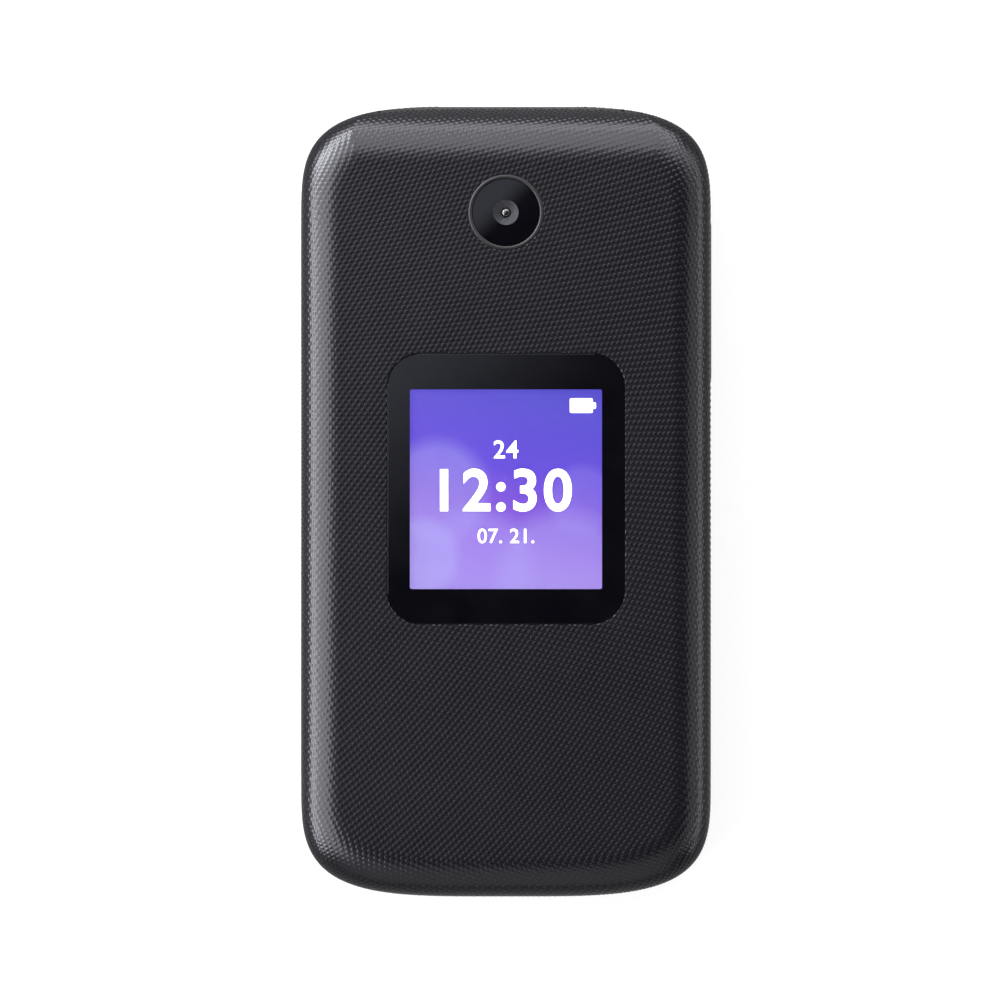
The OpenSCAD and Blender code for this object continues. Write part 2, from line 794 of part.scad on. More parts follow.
module sim_holder() {
  color(steel)
    union() {
      difference() {
        block(2.4 * kx, 16.9 * kx, bay_y + bay_l2 + 0.9, cav_y1 - 1.05, cover_t + 0.8, 3.4 * kz);
        block(3.2 * kx, 16.1 * kx, bay_y + bay_l2 + 1.6, cav_y1 - 1.65, 1.2 * kz, 2.9 * kz);
      }
      block(8 * kx, 12 * kx, cav_y1 - 8.65, cav_y1 - 4.65, 3.3 * kz, main_z);
    }
}

module main_board() {
  color(pcb)
    difference() {
      linear_extrude(board_t + main_z)
        polygon([[-22 * kx, -44 * ky], [-17 * kx, -49 * ky], [17 * kx, -49 * ky],
                 [22 * kx, -44 * ky], [22 * kx, cav_y1 - 0.75], [-22 * kx, cav_y1 - 0.75]]);
      block(-sky, sky, -sky * 2, sky * 2, -1, main_z);
      for (p = boss_at)
        rod(screw_r + 0.3, 0, sky, p[0], p[1], 24);
    }
}

module dome_sheet() {
  color([0.9, 0.9, 0.88])
    union() {
      slab(43 * kx, 73 * ky, dome_z, dome_z + 0.1, 1, 0, -4.3 * ky);
      for (c = [-1 : 1], r = [0 : 3])
        rod(2, dome_z, dome_z + dome_t, c * key_px, key_y - r * key_py, 24);
      for (s = [-1, 1], y = [soft_y, call_y])
        rod(2, dome_z, dome_z + dome_t, s * soft_x, y, 24);
      rod(2, dome_z, dome_z + dome_t, 0, clear_y, 24);
      for (a = [0 : 90 : 270])
        rod(1.6, dome_z, dome_z + dome_t, 7.8 * cos(a), nav_y + 7.8 * sin(a), 24);
      rod(2, dome_z, dome_z + dome_t, 0, nav_y, 24);
    }
}

module keypad_mat() {
  color([0.3, 0.3, 0.32])
    difference() {
      union() {
        slab(47 * kx, 75.6 * ky, mat_z, mat_z + mat_t, 2, 0, -5.8 * ky);
        for (x = [-20.8, 20.8], y = [-42, -20, 2, 24])
          rod(0.7, dome_z + 0.1, mat_z + 0.1, x * kx, y * ky, 16);
      }
      for (c = [-1 : 1], r = [0 : 3])
        rod(1.5, 0, sky, c * key_px, key_y - r * key_py, 24);
      for (s = [-1, 1], y = [soft_y, call_y])
        rod(1.5, 0, sky, s * soft_x, y, 24);
      rod(1.5, 0, sky, 0, clear_y, 24);
      rod(ring_r + 0.6, 0, sky, 0, nav_y, 64);
      for (p = boss_at)
        rod(2, 0, sky, p[0], p[1], 32);
      block(arm_c - 1.4, arm_c + 2.4, 33.6 * ky, 50 * ky, 0, sky);
    }
}

module number_key(c, r) {
  color(keycol)
    key_cap(key_w, key_l, 1.2, c * key_px, key_y - r * key_py);
}

module key_1() { number_key(-1, 0); }
module key_2() { number_key(0, 0); }
module key_3() { number_key(1, 0); }
module key_4() { number_key(-1, 1); }
module key_5() { number_key(0, 1); }
module key_6() { number_key(1, 1); }
module key_7() { number_key(-1, 2); }
module key_8() { number_key(0, 2); }
module key_9() { number_key(1, 2); }
module key_star() { number_key(-1, 3); }
module key_0() { number_key(0, 3); }
module key_hash() { number_key(1, 3); }
module soft_key_left() { color(keycol) key_cap(soft_w, soft_l, 1.2, -soft_x, soft_y); }
module soft_key_right() { color(keycol) key_cap(soft_w, soft_l, 1.2, soft_x, soft_y); }
module call_key() { color(keycol) key_cap(soft_w, call_l, 1.2, -soft_x, call_y); }
module end_key() { color(keycol) key_cap(soft_w, call_l, 1.2, soft_x, call_y); }
module clear_key() { color(keycol) key_cap(clear_w, clear_l, 1, 0, clear_y); }

// The ring tips about two lines, on a soft pad that tips about one of them.
module nav_ring() {
  color(steel)
    union() {
      difference() {
        rod(ring_r, plate_z + 0.15, base_top - ring_drop, 0, nav_y, 96);
        rod(ok_r + 0.2, 0, sky, 0, nav_y, 64);
      }
      tube(ok_r + 1.6, ok_r + 0.7, plate_z - 0.2, plate_z + 0.2, 0, nav_y);
      for (y = [-6, 6])
        rod(0.35, plate_z - 0.4, plate_z, 0, nav_y + y, 24);
    }
}

module nav_pad() {
  color([0.3, 0.3, 0.32])
    union() {
      tube(ring_r - 0.2, ok_r + 0.6, plate_z - 0.75, plate_z - 0.4, 0, nav_y);
      for (a = [0 : 90 : 270])
        rod(0.8, dome_z + dome_t + 0.25, plate_z - 0.7, 7.8 * cos(a), nav_y + 7.8 * sin(a), 24);
      for (x = [-7.8, 7.8])
        rod(0.3, dome_z + dome_t, plate_z - 0.7, x, nav_y, 24);
    }
}

module ok_key() {
  color(keycol)
    union() {
      rod(ok_r, plate_z - 0.3, base_top, 0, nav_y, 64);
      rod(1.2, plunger_z, plate_z - 0.2, 0, nav_y, 32);
    }
}

module volume_rocker() {
  color(charcoal)
    union() {
      block(rocker_pin_x + 0.4, half_w + rocker_proud, rocker_y - rocker_l / 2, rocker_y + rocker_l / 2,
            rocker_z - rocker_h / 2, rocker_z + rocker_h / 2);
      rod(0.5, rocker_z - rocker_h / 2, rocker_z + rocker_h / 2, rocker_pin_x, rocker_y, 32);
      block(rocker_pin_x, rocker_pin_x + 0.5, rocker_y - 0.3, rocker_y + 0.3,
            rocker_z - rocker_h / 2, rocker_z + rocker_h / 2);
    }
}

module side_switches() {
  color(steel)
    for (s = [-1, 1])
      union() {
        block(rocker_pin_x - 2.2, rocker_pin_x - 0.2, rocker_y + s * 7 - 1.8, rocker_y + s * 7 + 1.8,
              rocker_z - 1.2, main_z);
        translate([rocker_pin_x - 0.3, rocker_y + s * 7, rocker_z])
          rotate([0, 90, 0])
            cylinder(r = 0.7, h = 0.35, $fn = 24);
      }
}

module loudspeaker() {
  color(dark)
    slab(13 * kx, 10.6 * ky, 2.2 * kz, 5 * kz, 1.5, -11.7 * kx, -42.8 * ky);
}

module antenna() {
  color([0.75, 0.45, 0.1])
    block(-16 * kx, 16 * kx, cav_y1 + 1.2, half_l - 3.15, 1.4 * kz, 1.7 * kz);
}

module microphone() {
  color(steel)
    block(12.2 * kx, 15.8 * kx, -48.9 * ky, -46.2 * ky, dome_z, dome_z + 1);
}

module headset_jack() {
  color(dark)
    difference() {
      union() {
        translate([-base_w2, jack_y, jack_z])
          rotate([0, 90, 0])
            cylinder(r = 2.8, h = 3, $fn = 48);
        block(-base_w2 + base_skin + 0.1, -base_w2 + base_skin + 12.5, jack_y - 3, jack_y + 3, 1.4 * kz, main_z);
      }
      translate([-base_w2 - 1, jack_y, jack_z])
        rotate([0, 90, 0])
          cylinder(r = jack_r, h = jack_l + 1, $fn = 48);
    }
}

module charging_port() {
  color(steel)
    translate([0, -half_l + 1.6, port_z])
      rotate([-90, 0, 0])
        union() {
          difference() {
            linear_extrude(7)
              polygon(rrect(port_w + 0.5, port_h + 0.5, 1.7));
            translate([0, 0, -1])
              linear_extrude(7.4)
                polygon(rrect(port_w, port_h, 1.5));
          }
          translate([1.25 - port_w / 2, -0.35, 0.8])
            cube([port_w - 2.5, 0.7, 6]);
          translate([-3, -(main_z - port_z), 3])
            cube([6, main_z - port_z - port_h / 2, 4]);
        }
}

module base_screws() {
  color(steel)
    for (p = boss_at)
      difference() {
        union() {
          rod(1.4, 1.4 * kz, 2.1 * kz, p[0], p[1], 32);
          rod(screw_r - 0.02, 2 * kz, base_top - 0.9, p[0], p[1], 24);
        }
        block(p[0] - 0.15, p[0] + 0.15, p[1] - 0.7, p[1] + 0.7, 0, 1.7 * kz);
        block(p[0] - 0.7, p[0] + 0.7, p[1] - 0.15, p[1] + 0.15, 0, 1.7 * kz);
      }
}

/* [Output] */
// Node to draw

lid_cover();
outer_window();
outer_display();
camera_ring();
camera_glass();
camera_module();
camera_lens();
lid_chassis();
main_display();
inner_window();
lid_inner_cover();
earpiece();
earpiece_mesh();
lid_board();
lid_screws();
screw_plugs();
lid_bumpers();
hinge_can();
hinge_cam();
hinge_spring();
hinge_shaft();
hinge_bush();
display_flex();
front_housing();
rear_housing();
battery_cover();
battery();
battery_contacts();
sim_holder();
main_board();
dome_sheet();
keypad_mat();
key_1();
key_2();
key_3();
key_4();
key_5();
key_6();
key_7();
key_8();
key_9();
key_star();
key_0();
key_hash();
soft_key_left();
soft_key_right();
call_key();
end_key();
clear_key();
nav_ring();
nav_pad();
ok_key();
volume_rocker();
side_switches();
loudspeaker();
antenna();
microphone();
headset_jack();
charging_port();
base_screws();
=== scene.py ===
"""A flip phone, closed and lying on its back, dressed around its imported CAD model.

Millimetres are used while a piece is shaped, and metres in the finished mesh.
+X is the right of the lid's outer face, +Y is the hinge end, +Z is out of the lid.
"""

from __future__ import annotations

import logging
import math
from dataclasses import dataclass, field
from enum import Enum
from typing import Callable, Iterable, Sequence, Union

import bmesh
import bpy
import numpy as np
from mathutils import Matrix, Vector, geometry, kdtree

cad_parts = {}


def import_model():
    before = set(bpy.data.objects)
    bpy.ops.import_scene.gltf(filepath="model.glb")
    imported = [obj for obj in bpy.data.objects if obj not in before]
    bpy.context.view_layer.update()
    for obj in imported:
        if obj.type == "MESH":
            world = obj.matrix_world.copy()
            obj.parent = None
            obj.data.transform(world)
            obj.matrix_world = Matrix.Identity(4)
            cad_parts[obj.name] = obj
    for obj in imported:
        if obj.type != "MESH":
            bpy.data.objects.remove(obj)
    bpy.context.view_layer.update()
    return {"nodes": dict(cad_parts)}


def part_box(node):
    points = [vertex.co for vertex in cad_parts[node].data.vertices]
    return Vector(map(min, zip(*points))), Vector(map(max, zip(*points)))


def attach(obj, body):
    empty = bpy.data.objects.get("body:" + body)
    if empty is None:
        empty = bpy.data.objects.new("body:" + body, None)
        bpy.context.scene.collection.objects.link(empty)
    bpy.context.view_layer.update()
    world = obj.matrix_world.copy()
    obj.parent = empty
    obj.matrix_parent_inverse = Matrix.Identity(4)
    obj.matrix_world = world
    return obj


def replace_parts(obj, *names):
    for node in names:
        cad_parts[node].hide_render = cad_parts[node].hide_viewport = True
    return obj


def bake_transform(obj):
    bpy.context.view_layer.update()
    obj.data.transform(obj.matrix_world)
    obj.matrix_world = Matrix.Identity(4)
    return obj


LOG = logging.getLogger("flip_phone")
MM = 0.001
Point2 = tuple[float, float]
Colour = tuple[int, int, int]


# ------------------------------------------------------------------ finishes


def linear(colour: Colour) -> tuple[float, float, float, float]:
    """Returns an 8-bit screen colour as linear RGBA."""
    rgb = [c / 255 for c in colour]
    out = [c / 12.92 if c <= 0.04045 else ((c + 0.055) / 1.055) ** 2.4 for c in rgb]
    return (out[0], out[1], out[2], 1.0)


class Nodes:
    """A node tree, built node by node."""

    def __init__(self, tree: bpy.types.NodeTree) -> None:
        """Takes the tree to build in."""
        self.tree = tree

    def link(self, source: bpy.types.NodeSocket, target: bpy.types.NodeSocket) -> None:
        """Joins two sockets."""
        self.tree.links.new(source, target)

    def fill(self, node: bpy.types.Node, inputs: dict) -> None:
        """Sets or links a node's inputs.

        Args:
            node: The node.
            inputs: Values, or sockets to link, by the input's name or number.
        """
        for key, value in inputs.items():
            if isinstance(value, bpy.types.NodeSocket):
                self.link(value, node.inputs[key])
            else:
                node.inputs[key].default_value = value

    def node(self, kind: str, inputs: dict | None = None, **settings: object) -> bpy.types.Node:
        """Adds a node.

        Args:
            kind: The node's type name.
            inputs: Values or sockets for its inputs.
            **settings: Properties of the node, set before its inputs.

        Returns:
            The node.
        """
        made = self.tree.nodes.new(kind)
        for key, value in settings.items():
            setattr(made, key, value)
        self.fill(made, inputs or {})
        return made


class Shader(Nodes):
    """A material's node tree around its Principled shader."""

    def __init__(self, name: str) -> None:
        """Starts a material of this name."""
        self.material = bpy.data.materials.new(name)
        self.material.use_nodes = True
        super().__init__(self.material.node_tree)
        self.principled = self.tree.nodes["Principled BSDF"]
        self.coords = self.node("ShaderNodeTexCoord").outputs["Object"]

    def put(self, **values: object) -> None:
        """Sets or links the Principled shader's sockets, written with underscores for spaces."""
        self.fill(self.principled, {key.replace("_", " "): value for key, value in values.items()})

    def mapped(self, scale: Sequence[float]) -> bpy.types.NodeSocket:
        """Returns the object's coordinates, scaled to pattern repeats per metre."""
        return self.node("ShaderNodeMapping", {"Vector": self.coords, "Scale": scale}).outputs["Vector"]

    def noise(self, scale: Sequence[float], detail: float = 3.0) -> bpy.types.NodeSocket:
        """Adds a noise texture on the object's coordinates.

        Args:
            scale: Repeats per metre on each axis.
            detail: Octaves.

        Returns:
            The noise value.
        """
        return self.node("ShaderNodeTexNoise", {
            "Vector": self.mapped(scale), "Scale": 1.0, "Detail": detail, "Roughness": 0.55,
        }).outputs["Fac"]

    def ramp(self, value: bpy.types.NodeSocket,
             stops: Sequence[tuple[float, Colour]]) -> bpy.types.NodeSocket:
        """Turns a value into a colour.

        Args:
            value: A number from 0 to 1.
            stops: Places and colours.

        Returns:
            The colour.
        """
        made = self.node("ShaderNodeValToRGB", {"Fac": value})
        band = made.color_ramp
        while len(band.elements) < len(stops):
            band.elements.new(0.5)
        for element, (place, colour) in zip(band.elements, stops):
            element.position = place
            element.color = linear(colour)
        return made.outputs["Color"]

    def span(self, value: bpy.types.NodeSocket, low: float, high: float,
             from_low: float = 0.0, from_high: float = 1.0) -> bpy.types.NodeSocket:
        """Maps a value onto another range.

        Args:
            value: The value to map.
            low: Result at from_low.
            high: Result at from_high.
            from_low: Start of the value's range.
            from_high: End of the value's range.

        Returns:
            The mapped value.
        """
        return self.node("ShaderNodeMapRange", {
            "Value": value, "From Min": from_low, "From Max": from_high, "To Min": low, "To Max": high,
        }).outputs["Result"]

    def bump(self, height: bpy.types.NodeSocket, distance: float, strength: float) -> None:
        """Presses a height into the surface.

        Args:
            height: Height from 0 to 1.
            distance: Depth of a full height, in metres.
            strength: Share of it that shows.
        """
        made = self.node("ShaderNodeBump", {"Height": height, "Distance": distance, "Strength": strength})
        self.put(Normal=made.outputs["Normal"])


@dataclass(frozen=True)
class Plastic:
    """Moulded plastic, rubber or lacquer with a fine grain."""

    name: str
    dark: Colour
    light: Colour
    roughness: tuple[float, float] = (0.38, 0.5)
    grain: float = 9000.0
    depth: float = 0.00002
    specular: float = 0.5
    coat: float = 0.0
    sheen: tuple[float, float, float] = (1.0, 1.0, 1.0)

    def build(self) -> bpy.types.Material:
        """Returns the material."""
        shader = Shader(self.name)
        cloud = shader.noise((220, 220, 220), 4.0)
        fine = shader.noise((self.grain,) * 3, 2.0)
        shader.bump(fine, self.depth, 0.5)
        shader.put(Base_Color=shader.ramp(cloud, [(0.3, self.dark), (0.7, self.light)]),
                   Roughness=shader.span(fine, *self.roughness), Specular_IOR_Level=self.specular,
                   Coat_Weight=self.coat, Specular_Tint=(*self.sheen, 1.0))
        return shader.material


@dataclass(frozen=True)
class Metal:
    """Brushed or turned metal."""

    name: str
    dark: Colour
    light: Colour
    roughness: tuple[float, float] = (0.22, 0.4)
    brush: tuple[float, float, float] = (600.0, 14000.0, 14000.0)

    def build(self) -> bpy.types.Material:
        """Returns the material."""
        shader = Shader(self.name)
        lines = shader.noise(self.brush)
        shader.bump(lines, 0.000006, 0.4)
        shader.put(Base_Color=shader.ramp(lines, [(0.25, self.dark), (0.75, self.light)]),
                   Roughness=shader.span(lines, *self.roughness), Metallic=1.0)
        return shader.material


@dataclass(frozen=True)
class Glass:
    """Clear plastic or glass with a faint smear in its gloss."""

    name: str
    tint: Colour = (250, 251, 255)
    ior: float = 1.45

    def build(self) -> bpy.types.Material:
        """Returns the material."""
        shader = Shader(self.name)
        smear = shader.noise((60, 90, 60), 2.0)
        shader.put(Base_Color=shader.ramp(smear, [(0.2, self.tint), (0.8, (255, 255, 255))]),
                   Roughness=shader.span(smear, 0.0, 0.03), Transmission_Weight=1.0, IOR=self.ior)
        return shader.material


@dataclass(frozen=True)
class Board:
    """Printed circuit board: solder mask over a faint pattern of tracks."""

    name: str

    def build(self) -> bpy.types.Material:
        """Returns the material."""
        shader = Shader(self.name)
        tracks = shader.node("ShaderNodeTexBrick", {
            "Vector": shader.mapped((420, 420, 420)), "Scale": 1.0, "Mortar Size": 0.06,
            "Color1": linear((18, 70, 44)), "Color2": linear((22, 84, 52)), "Mortar": linear((46, 120, 74)),
        })
        shader.bump(tracks.outputs["Fac"], 0.00003, 0.4)
        shader.put(Base_Color=tracks.outputs["Color"],
                   Roughness=shader.span(shader.noise((5000,) * 3), 0.3, 0.5))
        return shader.material


@dataclass(frozen=True)
class Screen:
    """A lit panel: a violet ground that grades down the panel, with soft round lights."""

    name: str
    centre: Point2
    size: Point2
    face_up: bool = True
    glow: float = 0.85
    lights: tuple[tuple[float, float, float, float], ...] = (
        (-0.36, -0.02, 0.30, 0.34), (-0.16, -0.40, 0.34, 0.4), (0.30, -0.46, 0.40, 0.35),
        (0.40, -0.06, 0.20, 0.22), (-0.44, -0.34, 0.22, 0.5))

    def build(self) -> bpy.types.Material:
        """Returns the material."""
        shader = Shader(self.name)
        side = 1.0 if self.face_up else -1.0
        place = shader.node("ShaderNodeMapping", {
            "Vector": shader.coords, "Location": (self.centre[0] * MM, self.centre[1] * MM, 0),
            "Scale": (self.size[0] * MM, side * self.size[1] * MM, 1),
        }, vector_type="TEXTURE")
        split = shader.node("ShaderNodeSeparateXYZ", {"Vector": place.outputs["Vector"]})
        x, y = split.outputs["X"], split.outputs["Y"]
        lean = shader.node("ShaderNodeMath", {0: x, 1: 0.22, 2: y}, operation="MULTIPLY_ADD")
        colour = shader.ramp(shader.span(lean.outputs[0], 0.0, 1.0, -0.5, 0.5), [
            (0.0, (172, 138, 240)), (0.22, (156, 108, 232)), (0.42, (130, 78, 224)),
            (0.62, (98, 66, 224)), (1.0, (84, 72, 212)),
        ])
        flat = shader.node("ShaderNodeCombineXYZ", {"X": x, "Y": y}).outputs["Vector"]
        for index, (across, up, radius, weight) in enumerate(self.lights):
            disc = shader.node("ShaderNodeVectorMath", {0: flat, 1: (across, up, 0)}, operation="DISTANCE")
            fade = shader.span(disc.outputs["Value"], weight, 0.0, radius * 0.72, radius)
            tone = (176, 158, 250) if index % 2 else (184, 176, 252)
            colour = shader.node("ShaderNodeMix", {"Factor": fade, "A": colour, "B": linear(tone)},
                                 data_type="RGBA").outputs["Result"]
        dim = shader.node("ShaderNodeMix", {"Factor": 0.9, "A": colour, "B": (0.004, 0.004, 0.006, 1)},
                          data_type="RGBA")
        shader.put(Emission_Color=colour, Base_Color=dim.outputs["Result"],
                   Emission_Strength=self.glow, Roughness=0.4)
        return shader.material


@dataclass(frozen=True)
class Lit:
    """A lit or shaded mark on a panel."""

    name: str
    colour: Colour
    glow: float = 1.0

    def build(self) -> bpy.types.Material:
        """Returns the material."""
        shader = Shader(self.name)
        cloud = shader.noise((300, 300, 300))
        edge = tuple(max(0, c - 4) for c in self.colour)
        shade = shader.ramp(cloud, [(0.3, edge), (0.7, self.colour)])
        shader.put(Emission_Color=shade, Base_Color=shade, Emission_Strength=self.glow, Roughness=0.5)
        return shader.material


def crowned_pane(edge: Sequence[Point2], clear: Sequence[Point2], low: float, high: float,
                 centre: Point2, crown_r: float, bevel: float = 0.1) -> "Solid":
    """Builds a pane with a slightly crowned face, divided along its clear area.

    Args:
        edge: The pane's outline.
        clear: The clear area's outline.
        low: Height of the underside.
        high: Height of the middle of the face.
        centre: Middle of the pane.
        crown_r: Radius of the crown.
        bevel: Radius of the upper edge.

    Returns:
        The pane.
    """
    middle = np.array(centre)
    rim = np.array(edge) - middle
    reach = np.abs(rim).max(axis=0)
    levels = [(low, 0.0), (high - bevel, 0.0)]
    for a in np.linspace(0, math.pi / 2, 5)[1:]:
        levels.append((high - bevel * (1 - math.sin(a)), bevel * (1 - math.cos(a))))
    rings = [middle + rim * (1 - inset / reach) for _, inset in levels]
    count = len(rim)
    verts = [(x, y, z) for ring, (z, _) in zip(rings, levels) for x, y in ring]
    faces: list[Sequence[int]] = []
    for j in range(len(levels) - 1):
        for i in range(count):
            a, b = j * count + i, j * count + (i + 1) % count
            faces.append((a, b, b + count, a + count))
    grid = [middle + (x, y) for x in np.arange(-reach[0] + 2, reach[0] - 1.5, 2.0)
            for y in np.arange(-reach[1] + 2, reach[1] - 1.5, 2.0)]
    for ring, height, flip, inner in ((rings[0], low, True, []), (rings[-1], high, False, grid)):
        flat = [Vector(p) for p in (*ring, *clear, *inner)]
        loops = [(i, (i + 1) % count) for i in range(count)]
        loops += [(count + i, count + (i + 1) % len(clear)) for i in range(len(clear))]
        points, _, cells, *_ = geometry.delaunay_2d_cdt(flat, loops, [], 1, 1e-5)
        start = len(verts)
        verts.extend((p.x, p.y, height) for p in points)
        faces.extend([start + k for k in (reversed(c) if flip else c)] for c in cells)
    crown = [(x, y, z - ((x - centre[0]) ** 2 + (y - centre[1]) ** 2) / (2 * crown_r) * (z > low + 0.3))
             for x, y, z in verts]
    return Solid(crown, faces).merged()


class Finish(Enum):
    """The finishes that the pieces use."""

    # The knurl's ground is painted darker than its crests, as painted shade in the gaps between the bumps of
    # one plastic.
    KNURLED = Plastic("knurl_ground_painted_shade", (7, 7, 10), (9, 9, 12), (0.2, 0.28), 6000.0, 0.00001, 0.34, 0.0,
                      (0.92, 0.925, 1.0))
    CREST = Plastic("knurled_crest", (9, 9, 12), (11, 11, 15), (0.18, 0.26), 6000.0, 0.00001, 0.37, 0.0,
                    (0.92, 0.925, 1.0))
    GLOSS = Plastic("black_gloss", (2, 2, 4), (4, 4, 6), (0.012, 0.03), 3000.0, 0.0, 0.5, 0.0,
                    (0.82, 0.85, 1.0))
    LENS = Plastic("lens_black", (8, 8, 12), (12, 12, 18), (0.03, 0.06), 4000.0, 0.0, 1.0, 1.0)
    MATTE = Plastic("matte_plastic", (18, 18, 20), (22, 22, 25), (0.46, 0.58), 9000.0, 0.00003)
    INNER = Plastic("inner_plastic", (15, 15, 17), (19, 19, 22), (0.46, 0.56), 9000.0, 0.00002)
    KEY = Plastic("key_plastic", (27, 27, 31), (32, 32, 36), (0.4, 0.5), 7000.0, 0.000015)
    RUBBER = Plastic("soft_rubber", (42, 42, 44), (52, 52, 55), (0.6, 0.75), 6000.0, 0.00004)
    WRAP = Plastic("battery_wrap", (38, 42, 50), (48, 52, 62), (0.3, 0.4), 3000.0, 0.00002)
    FILM = Plastic("amber_film", (150, 84, 24), (176, 104, 34), (0.25, 0.35), 4000.0, 0.00001)
    SHEET = Plastic("dome_sheet_film", (196, 198, 196), (212, 214, 212), (0.35, 0.45), 4000.0, 0.00001)
    PALE_PRINT = Plastic("pale_print", (214, 216, 222), (226, 228, 234), (0.4, 0.5), 7000.0, 0.000004)
    GREEN_PRINT = Plastic("green_print", (52, 170, 92), (60, 184, 102), (0.4, 0.5), 7000.0, 0.000004)
    RED_PRINT = Plastic("red_print", (196, 52, 50), (210, 62, 58), (0.4, 0.5), 7000.0, 0.000004)
    BAFFLE = Plastic("lens_baffle", (40, 40, 55), (46, 46, 62), (0.4, 0.5), 9000.0, 0.00001)
    STEEL = Metal("steel", (150, 151, 155), (196, 197, 201))
    CHASSIS = Metal("chassis_metal", (128, 130, 134), (166, 168, 172), (0.3, 0.5))
    RIM = Plastic("dark_rim", (19, 19, 22), (25, 25, 28), (0.34, 0.44), 9000.0, 0.00001, 0.22)
    GOLD = Metal("gold_contact", (196, 152, 74), (226, 184, 100))
    GLASS = Glass("clear_window")
    BOARD = Board("circuit_board")

    def material(self) -> bpy.types.Material:
        """Returns the finish's material, built once."""
        found = bpy.data.materials.get(self.value.name)
        return found or self.value.build()


Dress = Union[Finish, bpy.types.Material]


def material_of(finish: Dress) -> bpy.types.Material:
    """Returns a finish's material, or a material as it is."""
    return finish.material() if isinstance(finish, Finish) else finish


# ------------------------------------------------------------------ shaping


def frame_points(width: float, length: float, radius: float, steps: int = 8,
                 centre: Point2 = (0.0, 0.0)) -> list[Point2]:
    """Outlines a rectangle with rounded corners.

    Args:
        width: Size across.
        length: Size along.
        radius: Corner radius.
        steps: Segments in each corner.
        centre: Middle of the rectangle.

    Returns:
        Points, anticlockwise.
    """
    points = []
    for quarter in range(4):
        sx = 1 if quarter in (0, 3) else -1
        sy = 1 if quarter < 2 else -1
        for i in range(steps + 1):
            a = math.radians(90 * quarter + 90 * i / steps)
            points.append((centre[0] + sx * (width / 2 - radius) + radius * math.cos(a),
                           centre[1] + sy * (length / 2 - radius) + radius * math.sin(a)))
    return points


def ring_points(radius: float, count: int = 96, centre: Point2 = (0.0, 0.0)) -> list[Point2]:
    """Returns a circle of points, anticlockwise."""
    return [(centre[0] + radius * math.cos(2 * math.pi * i / count),
             centre[1] + radius * math.sin(2 * math.pi * i / count)) for i in range(count)]


